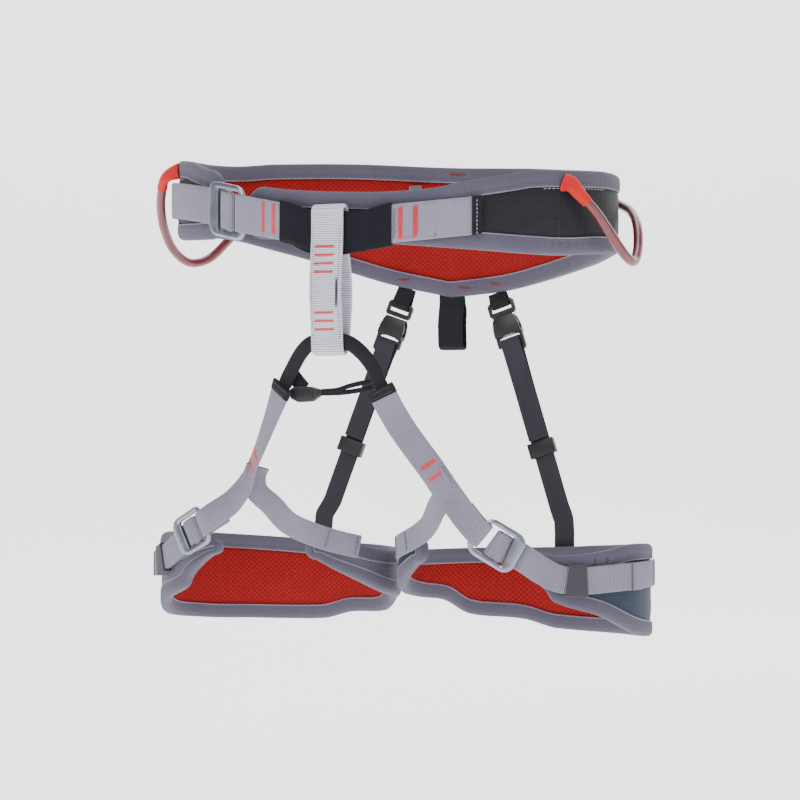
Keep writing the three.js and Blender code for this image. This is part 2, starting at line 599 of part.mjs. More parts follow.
function legRun(hand, side) {
  const rows = LEG_STRAPS[hand];
  const surface = legSurface(side);
  const roundHeight = smooth(rows.round);
  const [first, last] = [rows.round[0][0], rows.round[rows.round.length - 1][0]];
  const onPad = range(first, last, 12).map((angle) => ({
    point: surface.place(angle, LEG_FACE, roundHeight(angle)), normal: surface.normal(angle),
  }));
  const free = rows.free
    .map(([x, y, z, u, v, w]) => ({ point: vec(x, y, z), normal: vec(u, v, w).normalize() }));
  const knots = [...free, ...onPad];
  const points = new THREE.CatmullRomCurve3(knots.map((knot) => knot.point), false, 'centripetal');
  const normals = new THREE.CatmullRomCurve3(knots.map((knot) => knot.normal), false, 'centripetal');
  const steps = 8 * (knots.length - 1);
  return new Run(range(0, 1, steps).map((t) => {
    const along = points.getTangent(t).normalize();
    const normal = normals.getPoint(t);
    normal.addScaledVector(along, -normal.dot(along)).normalize();
    return { point: points.getPoint(t), normal, wide: normal.clone().cross(along).normalize() };
  }));
}

function legLoop(hand, side, shellFinish) {
  const prefix = `leg_${hand}`;
  const rows = LEG_STRAPS[hand];
  const surface = legSurface(side);
  pad(prefix, surface, legEdges, LEG_PAD, shellFinish);
  const run = legRun(hand, side);
  const height = smooth(rows.round);
  const along = (angle) => run.nearest(surface.place(angle, LEG_FACE, height(angle)));
  const centre = along(rows.buckle);

  add(`${prefix}_buckle_frame`, buckleFrame(run, centre, LEG_BUCKLE), 'aluminium');
  add(`${prefix}_buckle_lock_bar`, lockBar(run, centre, LEG_BUCKLE), 'aluminium');
  const adjustPath = bucklePath(centre, LEG_BUCKLE, along(rows.anchor), along(rows.tail), LEG_WEB);
  add(`${prefix}_adjust_strap`, strap(run, adjustPath, LEG_WEB), 'greyWebbing');
  add(`${prefix}_keeper`, keeper(run, along(rows.keeper), 13, LEG_WEB), 'greyElastic');

  // The front strap ends round the buckle's upper bar.
  const half = LEG_WEB.thick / 2;
  const barNear = centre - LEG_BUCKLE.half + LEG_BUCKLE.bar;
  const over = LEG_BUCKLE.level + LEG_BUCKLE.deep + 0.45 + half;
  const under = LEG_BUCKLE.level - 0.45 - half;
  const radius = (over - under) / 2;
  const turn = arc(barNear - 0.8, (over + under) / 2, radius, 90, -90, 8);
  const frontPath = [[2, 2.5], [barNear - 30, 3.2], [barNear - 12, over - 0.4], [barNear - 6, over], ...turn,
    [barNear - 8, under + 0.2], [barNear - 20, 0.9]];
  add(`${prefix}_front_strap`, strap(run, frontPath, LEG_WEB), 'greyWebbing');

  // The inner branch leaves the front strap behind its lower end and is sewn to the pad's inner end.
  const sewn = [[322, -214], [314, -218], [306, -221], [298, -223.5]];
  const branch = new THREE.CatmullRomCurve3([
    vec(side * 70.5, -75.2, -180), vec(side * 61, -68.5, -194), vec(side * 52, -61.5, -206),
    ...sewn.map(([angle, z]) => surface.place(angle, LEG_FACE + 1.4, z))]);
  const line = branch.getSpacedPoints(12);
  const [upper, lower] = [vec(side * 0.75, 0.1, -0.65), vec(0, 0, -1)];
  const branchAcross = line.map((_, i) => upper.clone().lerp(lower, Math.min(i / 8, 1)));
  add(`${prefix}_inner_branch`, sweep(line, branchAcross, oblong(16, LEG_WEB.thick)), 'greyWebbing');
}
legLoop('left', 1, 'blueShell');
legLoop('right', -1, 'greyShell');
add('leg_right_size_label', sizeLabel(legSurface(-1), 196, -240, 8.5, 11, LEG_FACE), 'labelFabric');

// ---- risers: belt tab, side-release clip, elastic and slider ----
// A clip is drawn flat: x across it, y up it from the belt tab's bar, z through it.
function flat(rows) {
  const points = rows.map(([x, y]) => new THREE.Vector2(x, y));
  return THREE.ShapeUtils.isClockWise(points) ? points.reverse() : points;
}

function plate(outline, holes, from, to) {
  const shape = new THREE.Shape(flat(outline));
  shape.holes = holes.map((hole) => new THREE.Path(flat(hole)));
  const geometry = new THREE.ExtrudeGeometry(shape, { depth: to - from, bevelEnabled: false });
  geometry.translate(0, 0, from);
  return geometry;
}

const mirrored = (rows) => [...rows, ...[...rows].reverse().map(([x, y]) => [-x, y])];
const CLIP_PLUG = mirrored([[8.6, 6], [10.2, 4.2], [10.2, -3.4], [8.8, -5.2]]);
const CLIP_SLOT = mirrored([[7.9, 3.2], [7.9, -1.6]]);
const CLIP_SOCKET = mirrored([[7.2, -5.8], [8.8, -8.5], [10, -14], [10.3, -20.5]]);
const CLIP_FOOT = [[10.3, -18], [10.3, -32], [9, -33.6], [8.3, -33.6], [8.3, -28.2],
  [-10.3, -28.2], [-10.3, -18]];
const CLIP_LENS = [[-8, -24.9], [8, -24.9], [8, -21.6], [4, -20.6], [0, -20.2], [-4, -20.6], [-8, -21.6]];
const PRONG = [[4.6, -6], [7, -6], [7.6, -8.6], [9.2, -12], [9.4, -15.5], [6.6, -17], [4.8, -15.5]];

function riser(hand, side) {
  const top = vec(side * RISER_TOP.x, RISER_TOP.y, RISER_TOP.z);
  const foot = vec(side * RISER_FOOT.x, RISER_FOOT.y, RISER_FOOT.z);
  const up = top.clone().sub(foot).normalize();
  const across = vec(1, 0, 0).addScaledVector(up, -up.x).normalize();
  const through = across.clone().cross(up);
  const frame = new THREE.Matrix4().makeBasis(across, up, through).setPosition(top);
  const local = (x, y, z) => vec(x, y, z).applyMatrix4(frame);
  const handed = (rows, turn = 1) => rows.map(([x, y]) => [side * turn * x, y]);
  function place(name, geometry, finish) {
    add(`riser_${hand}_${name}`, geometry.applyMatrix4(frame), finish);
  }

  // The tab hangs from the belt's lower edge and turns round the plug's top bar.
  const reachUp = (waistEdges.bottom(side * 165) - 4.9 - top.z) / up.z - 0.8;
  add(`riser_${hand}_tab`, riserTab(local, reachUp, across), 'blackWebbing');

  place('plug', plate(CLIP_PLUG, [CLIP_SLOT], -1.6, 1.6), 'blackPlastic');
  place('socket', joined([
    plate(CLIP_SOCKET, [], 2.2, 3.5), plate(CLIP_SOCKET, [], -3.5, -2.2),
    plate(mirrored([[3, -6], [3, -20]]), [], -2.4, 2.4),
    plate(mirrored([[10.2, -18.2], [10.2, -20.4]]), [], -2.4, 2.4),
    plate(handed(CLIP_FOOT), [CLIP_LENS], -1.6, 1.6),
  ]), 'blackPlastic');
  place('prong_outer', plate(handed(PRONG), [], -1.8, 1.8), 'blackPlastic');
  place('prong_inner', plate(handed(PRONG, -1), [], -1.8, 1.8), 'blackPlastic');

  // The elastic turns round the socket's lower bar; its short end comes back to the slider.
  const t = ELASTIC.thick / 2;
  const reach = top.distanceTo(foot);
  const [bar, round] = [-26.55, 2.75 + t];
  const strapLine = [
    [-101, 1.35 + t], [-60, 1.4 + t], [-36, 2.1 + t], [-30, round - 0.2],
    ...arc(bar, 0, round, 90, -90, 8),
    [-30, -round + 0.2], [-36, -1.6 - t], [-60, -0.4 - t], [-120, -0.4 - t], [-reach + 18, -0.4 - t]];
  const points = strapLine.map(([y, z]) => local(0, y, z));
  const landing = [[95.2, 84.6, -208], [96, 84.1, -217], [96, 83.9, -224], [96, 83.9, -238]]
    .map(([x, y, z]) => vec(side * x, y, z));
  const line = [...points, ...landing];
  const levelled = (i) => clamp((i - points.length + 1) / landing.length, 0, 1);
  const wide = line.map((_, i) => across.clone().lerp(vec(1, 0, 0), levelled(i)));
  add(`riser_${hand}_elastic`, sweep(line, wide, oblong(ELASTIC.width, ELASTIC.thick)), 'charcoalElastic');

  // The slider is a flat ring round the elastic.
  const ring = mirrored([[9.9, 2.2], [9.9, -3.2]]);
  const hole = mirrored([[8.1, 0.9], [8.1, -2.2]]);
  const [high, low] = [-102.6, -113.6];
  add(`riser_${hand}_slider`, loft(ring.map(([x, z], k) => [
    local(x, high, z), local(x, low, z),
    local(hole[k][0], low, hole[k][1]), local(hole[k][0], high, hole[k][1]),
  ]), true), 'blackPlastic');
}

function riserTab(local, reachUp, across) {
  const [bar, radius] = [4.6, 3.2];
  const turn = arc(bar, 0, radius, -60, -180, 4);
  const rest = arc(bar, 0, radius, 180, 60, 4).slice(1);
  const line = [[reachUp, -1.15], ...turn, ...rest, [reachUp, 1.15]];
  return sweep(line.map(([y, z]) => local(0, y, z)), across, oblong(14, 1.3));
}
riser('left', 1);
riser('right', -1);

export default harness;
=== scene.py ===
"""A climbing sit harness: belt, leg loops, webbing, buckles and risers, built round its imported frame."""
import math
from bisect import bisect_left
from collections import namedtuple

import bmesh
import bpy
import numpy as np
from bpy.props import FloatProperty, FloatVectorProperty, PointerProperty
from mathutils import Matrix, Vector, noise


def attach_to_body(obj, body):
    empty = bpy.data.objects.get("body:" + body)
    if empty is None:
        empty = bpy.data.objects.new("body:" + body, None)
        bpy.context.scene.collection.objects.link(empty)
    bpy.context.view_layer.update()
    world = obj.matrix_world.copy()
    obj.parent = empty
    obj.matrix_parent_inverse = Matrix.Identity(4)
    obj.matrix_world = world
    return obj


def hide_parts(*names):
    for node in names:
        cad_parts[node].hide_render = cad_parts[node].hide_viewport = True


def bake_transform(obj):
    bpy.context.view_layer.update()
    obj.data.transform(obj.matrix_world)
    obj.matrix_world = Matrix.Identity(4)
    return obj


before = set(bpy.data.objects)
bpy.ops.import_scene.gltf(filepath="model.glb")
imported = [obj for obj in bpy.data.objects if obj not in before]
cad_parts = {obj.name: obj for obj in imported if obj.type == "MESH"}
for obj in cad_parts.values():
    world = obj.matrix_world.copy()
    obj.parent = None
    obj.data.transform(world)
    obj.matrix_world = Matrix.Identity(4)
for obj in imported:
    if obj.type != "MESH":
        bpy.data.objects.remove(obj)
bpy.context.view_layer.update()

bl_info = {
    "name": "Climbing Sit Harness",
    "version": (1, 0, 0),
    "blender": (4, 5, 0),
    "location": "View3D > Sidebar > Harness",
    "description": "Builds the soft goods and hardware of a climbing sit harness",
    "category": "Add Mesh",
}

MM = 0.001
SIDES = {"left": 1, "right": -1}

# ---- the harness's measurements, in millimetres and degrees ----
WAIST_PAD = {"from": -24, "to": 325, "half": 4.0, "rim": 10.5, "corner": 14}
WAIST_TILT = 10
WAIST_TOP = [(0, 15), (13, 16), (26, 20), (35, 26), (48, 33), (54, 36), (81, 40), (100, 40.5),
             (113, 42), (127, 46), (153, 50), (180, 50)]
WAIST_BOTTOM = [(0, -16.5), (30, -18), (60, -18.5), (80, -15), (110, -13), (130, -20),
                (140, -25), (150, -31), (163, -39), (180, -46)]
LEG_PAD = {"from": 7, "to": 325, "half": 3.5, "rim": 9.5, "corner": 12}
LEG_TOP = [(7, -219), (20, -221), (34, -224), (54, -222), (75, -218), (110, -220), (130, -222),
           (160, -225), (180, -227), (210, -228), (270, -227), (300, -221), (325, -213)]
LEG_BOTTOM = [(7, -228), (13, -231), (27, -246), (31, -254), (54, -264), (78, -277), (110, -283),
              (133, -285), (180, -285), (197, -279), (225, -275), (239, -265), (259, -261),
              (281, -255), (307, -241), (325, -228)]
RIM_PROUD = 0.6
BELT_FACE = WAIST_PAD["half"] + RIM_PROUD
LEG_FACE = LEG_PAD["half"] + RIM_PROUD

WAIST_WEB = (25, 1.8)
LEG_WEB = (18, 1.6)
ELASTIC = (15, 1.4)
WAIST_WEB_Z = [(-128, 18), (-105, 21), (-69, 19.5), (-42, 12.5), (-24, 3), (-11, -4), (-2, -9),
               (12, -9), (20, -7), (39, -2), (48, 0)]
TIE_IN = {"left": 38.5, "lift": 4.2, "middle": 3, "flat": 15.5, "fade": 13, "narrow": 18}
SLEEVE = {"from": -11, "to": 17}
SLEEVE_TOP = [(-11, 10.5), (-6, 6), (-3, 1.5), (11, 1.5), (17, 5.5)]
SLEEVE_BOTTOM = [(-11, -15), (-4, -25), (3, -27.5), (10, -25.5), (17, -22.5)]
WAIST_BUCKLE = {"angle": -28, "half": 17, "plate": 9, "bar": 5, "rail": 4.2, "slot": 14.2,
                "level": 4.9, "deep": 2.4, "flip": 1}
WAIST_STRAP = {"anchor": -113, "tail": -97, "keeper": -88}
LEG_BUCKLE = {"half": 17, "plate": 8, "bar": 4.6, "rail": 3.8, "slot": 10.4, "level": 4.7,
              "deep": 2.2, "flip": -1}
LEG_STRAPS = {
    "left": {
        "free": [(37.6, -107.2, -113.6, 0.25, -0.95, 0), (47.6, -97.5, -138, 0.3, -0.93, 0.1),
                 (65, -85.5, -167, 0.3, -0.93, 0.1), (74, -78.5, -183, 0.25, -0.95, 0.1),
                 (86, -73.5, -199.5, 0.15, -0.98, 0.08), (96, -70.2, -210, 0.1, -0.99, 0.03)],
        "round": [(9, -218.5), (17, -224.5), (26, -233.5), (35, -239.5), (47, -240), (60, -239),
                  (75, -238.5), (104, -238.5)],
        "buckle": 6, "keeper": 41, "tail": 76, "anchor": 102,
    },
    "right": {
        "free": [(-31, -107.2, -112, -0.3, -0.95, 0), (-44, -98.5, -135, -0.55, -0.82, 0.1),
                 (-62, -85.5, -163, -0.7, -0.7, 0.15), (-73, -79, -180, -0.5, -0.86, 0.1),
                 (-88, -74.5, -193.5, -0.25, -0.96, 0.05), (-103, -71, -203, -0.15, -0.98, 0)],
        "round": [(14, -209.5), (20, -214), (28, -221.5), (40, -231), (52, -236.5), (66, -239.5),
                  (80, -241), (104, -241)],
        "buckle": 18, "keeper": 48, "tail": 78, "anchor": 102,
    },
}
SWELL_CELL = 4.5
SWELL_FRAMES = 12
SWELL_STIFFNESS = 20
SWELL_MOST = 2
CAMERA_TURN = 24
CAMERA_AWAY = 1.6
CAMERA_LENS = 102.86
BELAY = {"x": 5.5, "width": 23, "thick": 2.2}
BELAY_FRONT = -119.1
HAUL = {"width": 19.5, "thick": 1.9, "y": 105.4}
GEAR_RADIUS = 3.3
GEAR_ROWS = {
    "left": [(64.5, 9, 19), (67, 12, 12), (71, 16.5, 1), (76, 20.5, -15), (81.5, 22, -27), (86, 22, -30),
             (91, 20.5, -22), (98, 17, -5), (109, 13, 8), (119, 10, 15), (123, 9, 19)],
    "right": [(64.5, 9.5, 38), (66.2, 13.8, 35), (70, 16, 27), (76, 18, 15), (83, 19.5, 1),
              (91, 20.5, -13), (99, 20, -20.5), (106, 18, -17), (112, 14.5, -4), (118, 11.5, 12),
              (121.5, 10, 23), (123, 9, 30)],
}
RISER_TOP = (41, 101.4, -55.2)
RISER_FOOT = (96, 85.2, -214)


# ---- settings a user would change ----
def colour(label, rgb):
    return FloatVectorProperty(name=label, description=f"Colour of the {label.lower()}", subtype="COLOR",
                               size=3, min=0, max=1, default=[c / 255 for c in rgb])


def length(label, description, default, low, high):
    return FloatProperty(name=label, description=description, default=default * MM, min=low * MM,
                         max=high * MM, subtype="DISTANCE", unit="LENGTH", precision=5)


class HarnessColours(bpy.types.PropertyGroup):
    """The colours of the harness's fabrics and hardware, as they look in daylight."""
    binding: colour("Edge binding", (86, 82, 98))
    lining: colour("Mesh lining", (136, 7, 9))
    black_shell: colour("Belt shell", (12, 12, 21))
    grey_shell: colour("Right leg shell", (82, 79, 92))
    blue_shell: colour("Left leg shell", (28, 41, 60))
    webbing: colour("Grey webbing", (138, 135, 152))
    belay: colour("Belay loop webbing", (192, 192, 206))
    black_web: colour("Black webbing", (22, 21, 28))
    elastic: colour("Riser elastic", (50, 47, 55))
    keeper: colour("Strap keepers", (62, 60, 67))
    thread: colour("Bar tacks", (214, 22, 20))
    metal: colour("Buckles", (140, 142, 154))
    plastic: colour("Clips", (12, 12, 16))
    tube: colour("Gear loop tube", (106, 26, 34))
    cover: colour("Gear loop cover", (200, 14, 16))
    label: colour("Labels", (92, 91, 98))


class HarnessSizes(bpy.types.PropertyGroup):
    """The sizes of the harness's sewn details."""
    piping: length("Piping radius", "Radius of the thin cord along the binding's inner edge", 0.5, 0.2, 1.5)
    stitch: length("Stitch length", "Length of one stitch of the binding's seam", 1.7, 0.8, 4)
    stitch_gap: length("Stitch pitch", "Distance from one binding stitch to the next", 2.6, 1.2, 6)
    rib: length("Rib pitch", "Distance from one rib of the belay loop to the next", 1.5, 0.8, 3)
    mesh_width: length("Mesh cell width", "Width of one cell of the lining", 4.2, 2, 8)
    mesh_height: length("Mesh cell height", "Height of one cell of the lining", 3.6, 2, 8)
    puff: FloatProperty(name="Pad pressure", description="Pressure that swells the pads' covers",
                        default=80.0, min=0, max=400)


# ---- curves ----
def smooth(rows):
    """A smooth curve through rows of (x, y)."""
    last = len(rows) - 1
    slopes = []
    for i in range(len(rows)):
        before, after = rows[max(i - 1, 0)], rows[min(i + 1, last)]
        slopes.append((after[1] - before[1]) / (after[0] - before[0]))
    places = [row[0] for row in rows]

    def value(x):
        i = min(max(bisect_left(places, x), 1), last)
        (x0, y0), (x1, y1) = rows[i - 1], rows[i]
        h = x1 - x0
        t = min(max((x - x0) / h, 0), 1)
        start = (1 + 2 * t) * (1 - t) ** 2 * y0 + t * (1 - t) ** 2 * h * slopes[i - 1]
        return start + t * t * (3 - 2 * t) * y1 + t * t * (t - 1) * h * slopes[i]
    return value


def ramp(x, low, high):
    """0 up to low, 1 from high, and an even rise between."""
    t = min(max((x - low) / (high - low), 0), 1)
    return t * t * (3 - 2 * t)


def steps(low, high, count):
    return [low + (high - low) * i / count for i in range(count + 1)]


def arc(u, v, radius, start, end, count):
    angles = [math.radians(a) for a in steps(start, end, count)]
    return [(u + radius * math.cos(a), v + radius * math.sin(a)) for a in angles]


def catmull(points, count):
    """A smooth line through the points, with this many places to each span."""
    knots = [Vector(p) for p in points]
    knots = [2 * knots[0] - knots[1]] + knots + [2 * knots[-1] - knots[-2]]
    line = []
    for a, b, c, d in zip(knots, knots[1:], knots[2:], knots[3:]):
        t1 = max((b - a).length, 1e-6) ** 0.5
        t2 = t1 + max((c - b).length, 1e-6) ** 0.5
        t3 = t2 + max((d - c).length, 1e-6) ** 0.5
        for t in steps(t1, t2, count)[:-1]:
            ab, bc, cd = a.lerp(b, t / t1), b.lerp(c, (t - t1) / (t2 - t1)), c.lerp(d, (t - t2) / (t3 - t2))
            first, second = ab.lerp(bc, t / t2), bc.lerp(cd, (t - t1) / (t3 - t1))
            line.append(first.lerp(second, (t - t1) / (t2 - t1)))
    return line + [knots[-2]]


def spline(points, step, longest=None):
    """Evenly spaced places on a smooth line through the points."""
    knots = [Vector(p) for p in points]
    if longest:
        fine = [knots[0]]
        for a, b in zip(knots, knots[1:]):
            count = max(1, math.ceil((b - a).length / longest))
            fine += [a.lerp(b, j / count) for j in range(1, count + 1)]
        knots = fine
    dense = catmull(knots, 12)
    lengths = [0]
    for a, b in zip(dense, dense[1:]):
        lengths.append(lengths[-1] + (b - a).length)
    line = []
    for target in steps(0, lengths[-1], max(2, round(lengths[-1] / step))):
        i = min(max(bisect_left(lengths, target), 1), len(lengths) - 1)
        span = max(lengths[i] - lengths[i - 1], 1e-9)
        line.append(dense[i - 1].lerp(dense[i], (target - lengths[i - 1]) / span))
    return line


# ---- the walls that the pads follow, and the runs that the straps follow ----
class Wall:
    """An upright oval wall: a place on it has an angle from the front, a distance out and a height."""

    def __init__(self, side, x, y, a, b):
        self.side, self.x, self.y, self.a, self.b = side, x, y, a, b

    def normal(self, angle):
        s, c = math.sin(math.radians(angle)), math.cos(math.radians(angle))
        return Vector((self.side * self.b * s, -self.a * c, 0)).normalized()

    def place(self, angle, out, z):
        s, c = math.sin(math.radians(angle)), math.cos(math.radians(angle))
        middle = Vector((self.side * (self.x + self.a * s), self.y - self.b * c, z))
        return middle + self.normal(angle) * out

    def per_degree(self, angle):
        s, c = math.sin(math.radians(angle)), math.cos(math.radians(angle))
        return math.radians(math.hypot(self.a * c, self.b * s))


WAIST = Wall(1, 0, 0, 157, 105)
LEGS = {hand: Wall(side, 93.6, 8, 85, 70) for hand, side in SIDES.items()}
Edges = namedtuple("Edges", "top bottom")


def waist_edges():
    top, bottom = smooth(WAIST_TOP), smooth(WAIST_BOTTOM)

    def tilted(curve):
        return lambda angle: (curve(360 - angle if angle > 180 else abs(angle))
                              - WAIST_TILT * math.sin(math.radians(angle)))
    return Edges(tilted(top), tilted(bottom))


WAIST_EDGES = waist_edges()
LEG_EDGES = Edges(smooth(LEG_TOP), smooth(LEG_BOTTOM))


class Run:
    """A line along a wall or in the air, with its outward and its width direction at each place."""

    def __init__(self, places):
        self.places = places
        self.lengths = [0]
        for a, b in zip(places, places[1:]):
            self.lengths.append(self.lengths[-1] + (b[0] - a[0]).length)

    def at(self, along, out, across):
        i = min(max(bisect_left(self.lengths, along), 1), len(self.lengths) - 1)
        t = (along - self.lengths[i - 1]) / (self.lengths[i] - self.lengths[i - 1])
        point, normal, wide = (a.lerp(b, t) for a, b in zip(self.places[i - 1], self.places[i]))
        return point + normal.normalized() * out + wide.normalized() * across

    def nearest(self, target):
        gaps = [(place[0] - target).length for place in self.places]
        return self.lengths[gaps.index(min(gaps))]


web_height = smooth(WAIST_WEB_Z)
UP = Vector((0, 0, 1))
WAIST_RUN = Run([(WAIST.place(a, BELT_FACE, web_height(a)), WAIST.normal(a), UP)
                 for a in steps(-128, 48, 88)])


def along_waist(angle):
    return WAIST_RUN.nearest(WAIST.place(angle, BELT_FACE, web_height(angle)))


def leg_run(hand):
    rows = LEG_STRAPS[hand]
    wall = LEGS[hand]
    height = smooth(rows["round"])
    knots = [(Vector(row[:3]), Vector(row[3:]).normalized()) for row in rows["free"]]
    knots += [(wall.place(a, LEG_FACE, height(a)), wall.normal(a))
              for a in steps(rows["round"][0][0], rows["round"][-1][0], 12)]
    points, normals = (catmull([knot[i] for knot in knots], 8) for i in (0, 1))
    places = []
    for i, (point, normal) in enumerate(zip(points, normals)):
        along = (points[min(i + 1, len(points) - 1)] - points[max(i - 1, 0)]).normalized()
        normal = (normal - along * normal.dot(along)).normalized()
        places.append((point, normal, normal.cross(along).normalized()))
    return Run(places)


# ---- meshes ----
Station = namedtuple("Station", "centre wide out along")


def mapped_grid(columns, rows, place, uv, material=None):
    """A grid whose point (s, t), each from 0 to 1, goes to place(s, t) in mm and takes uv(s, t) in mm."""
    bm = bmesh.new()
    bmesh.ops.create_grid(bm, x_segments=columns, y_segments=rows, size=0.5)
    layer = bm.loops.layers.uv.new("UVMap")
    for face in bm.faces:
        if material:
            middle = face.calc_center_median()
            face.material_index = material(middle.x + 0.5, middle.y + 0.5)
        for loop in face.loops:
            u, v = uv(loop.vert.co.x + 0.5, loop.vert.co.y + 0.5)
            loop[layer].uv = (u * MM, v * MM)
    for vert in bm.verts:
        vert.co = place(vert.co.x + 0.5, vert.co.y + 0.5) * MM
    return bm


def close_up(bm, weld=0.002):
    """Joins the seam, closes the open ends and turns the faces outwards."""
    bmesh.ops.remove_doubles(bm, verts=bm.verts, dist=weld * MM)
    ends = [edge for edge in bm.edges if edge.is_boundary]
    if ends:
        bmesh.ops.holes_fill(bm, edges=ends, sides=0)
    bmesh.ops.recalc_face_normals(bm, faces=bm.faces)
    return bm


def piece(name, bm, *materials, smooth_angle=40):
    """The bmesh as a shown object with these materials."""
    mesh = bpy.data.meshes.new(name)
    bm.to_mesh(mesh)
    bm.free()
    for material in materials:
        mesh.materials.append(material)
    mesh.shade_smooth()
    mesh.set_sharp_from_angle(angle=math.radians(smooth_angle))
    obj = bpy.data.objects.new(name, mesh)
    bpy.context.scene.collection.objects.link(obj)
    return obj


def applied(obj):
    """The object's mesh with its modifiers applied."""
    bpy.context.view_layer.update()
    final = bpy.data.meshes.new_from_object(obj.evaluated_get(bpy.context.evaluated_depsgraph_get()))
    obj.modifiers.clear()
    obj.data = final
    return obj


def sweep(stations, sections, closed=False):
    """A skin round the stations. sections is one ring of (across, out) points, or one ring a station."""
    single = isinstance(sections[0][0], (int, float))
    ring = (lambda i: sections) if single else (lambda i: sections[i])
    count, size = len(stations), len(ring(0))
    columns = count if closed else count - 1
    first = ring(count // 2)
    girth = [0]
    for j in range(size):
        girth.append(girth[-1] + math.dist(first[j], first[(j + 1) % size]))
    whole = stations[-1].along + (stations[0].centre - stations[-1].centre).length

    def place(s, t):
        i = round(s * columns) % count
        u, v = ring(i)[round(t * size) % size]
        return stations[i].centre + stations[i].wide * u + stations[i].out * v

    def uv(s, t):
        i = round(s * columns)
        return girth[round(t * size)], stations[i].along if i < count else whole
    return close_up(mapped_grid(columns, size, place, uv))


def tape_ring(width, thick, rows=8, crown=0.0):
    """The section of a tape: flat faces and round edges, a little thicker in the middle."""
    half, r = width / 2 - thick / 2, thick / 2
    top = [(u, r + crown * (1 - (u / half) ** 2)) for u in steps(-half, half, rows)]
    edge = arc(half, 0, r, 90, -90, 4)[1:-1]
    return top + edge + [(-u, -v) for u, v in top] + [(-u, -v) for u, v in edge]


def round_ring(radius, count=12, flat=1.0):
    return [(radius * math.cos(a), flat * radius * math.sin(a)) for a in steps(math.tau, 0, count)[:-1]]


def shaped(ring, wide=1.0, cup=0.0, lift=0.0):
    """A section made narrower and bent across its width."""
    half = max(abs(u) for u, _ in ring)
    return [(u * wide, v - cup * (u / half) ** 2 + lift) for u, v in ring]


def ribbed(ring, along, pitch, depth):
    """A section that swells and shrinks with the ribs along the tape."""
    swell = depth * (0.5 + 0.5 * math.cos(math.tau * along / pitch))
    reach = max(abs(u) for u, _ in ring)
    return [(u + math.copysign(swell * 0.5 * (abs(u) > reach * 0.97), u), v + math.copysign(swell, v))
            for u, v in ring]


def stations_on(points, across, closed=False):
    """Stations at 3-D points, with the width direction given once or for each point."""
    count = len(points)
    many = isinstance(across, list)
    stations, along = [], 0
    for i, point in enumerate(points):
        before = points[i - 1] if i or closed else points[0]
        after = points[(i + 1) % count] if i + 1 < count or closed else point
        heading = (after - before).normalized()
        wide = (across[i] if many else across).copy()
        wide = (wide - heading * wide.dot(heading)).normalized()
        if i:
            along += (point - points[i - 1]).length
        stations.append(Station(point, wide, heading.cross(wide), along))
    return stations


def stations_of(run, rows, step=1.0):
    """Stations of a strap on a run, through rows of (along, out)."""
    line = spline(rows, step, longest=4)
    stations, travelled = [], 0
    for i, point in enumerate(line):
        ahead, behind = line[min(i + 1, len(line) - 1)], line[max(i - 1, 0)]
        heading = (ahead - behind).normalized()
        centre = run.at(point.x, point.y, 0)
        out = (run.at(point.x - heading.y, point.y + heading.x, 0) - centre).normalized()
        wide = (run.at(point.x, point.y, 1) - centre).normalized()
        if i:
            travelled += (centre - stations[-1].centre).length
        stations.append(Station(centre, wide, out, travelled))
    return stations


def from_node(node, width=0.35, segments=2, sharp=28):
    """A CAD node's shape as one closed skin with its sharp edges rounded."""
    bm = bmesh.new()
    bm.from_mesh(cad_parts[node].data)
    bmesh.ops.remove_doubles(bm, verts=bm.verts, dist=0.004 * MM)
    bmesh.ops.dissolve_limit(bm, angle_limit=math.radians(1), verts=bm.verts, edges=bm.edges)
    edges = [e for e in bm.edges if len(e.link_faces) == 2 and e.calc_face_angle(0) > math.radians(sharp)]
    bmesh.ops.bevel(bm, geom=edges, offset=width * MM, offset_type="OFFSET", segments=segments, profile=0.5,
                    affect="EDGES", material=-1, clamp_overlap=True)
    bmesh.ops.recalc_face_normals(bm, faces=bm.faces)
    return bm


# ---- thread ----
def thread_mesh():
    bm = bmesh.new()
    bmesh.ops.create_uvsphere(bm, u_segments=6, v_segments=4, radius=1)
    mesh = bpy.data.meshes.new("stitch")
    bm.to_mesh(mesh)
    bm.free()
    return mesh


def sewn(name, spots, radius, material):
    """One piece of many round-ended stitches, each from its two ends and its outward direction, in mm."""
    pattern = thread_mesh()
    rest = np.array([v.co for v in pattern.vertices])
    bm = bmesh.new()
    for a, b, out in spots:
        heading = (b - a).normalized()
        side = heading.cross(out).normalized()
        up = side.cross(heading)
        half = ((b - a).length / 2 + radius * 0.5) * heading
        basis = np.array([half, side * radius, up * radius])
        place = rest[:, [2, 1, 0]] @ basis + np.array((a + b) / 2)
        pattern.vertices.foreach_set("co", (place * MM).ravel())
        bm.from_mesh(pattern)
    bpy.data.meshes.remove(pattern)
    bmesh.ops.recalc_face_normals(bm, faces=bm.faces)
    return piece(name, bm, material, smooth_angle=180)


def tack_spots(at, centre, size, pitch=0.62):
    """The zigzag of a bar tack. at(along, across) gives a point and its outward direction."""
    (u, v), (wide, tall) = centre, size
    count = max(4, round(tall / pitch))
    spots = []
    for i in range(count):
        low, high = v - tall / 2 + tall * i / count, v - tall / 2 + tall * (i + 1) / count
        left, out = at(u - wide / 2 + 0.15 * (i % 3), low)
        right, _ = at(u + wide / 2 - 0.15 * ((i + 1) % 3), high)
        spots.append((left, right, out))
    return spots


def row_spots(places, pitch, long):
    """Stitches along a line of (point, out) places."""
    spots, travelled, due = [], 0, 0
    for (a, out), (b, _) in zip(places, places[1:]):
        gap = (b - a).length
        while due <= travelled + gap:
            at = a.lerp(b, (due - travelled) / max(gap, 1e-6))
            heading = (b - a).normalized() * long / 2
            spots.append((at - heading, at + heading, out))
            due += pitch
        travelled += gap
    return spots


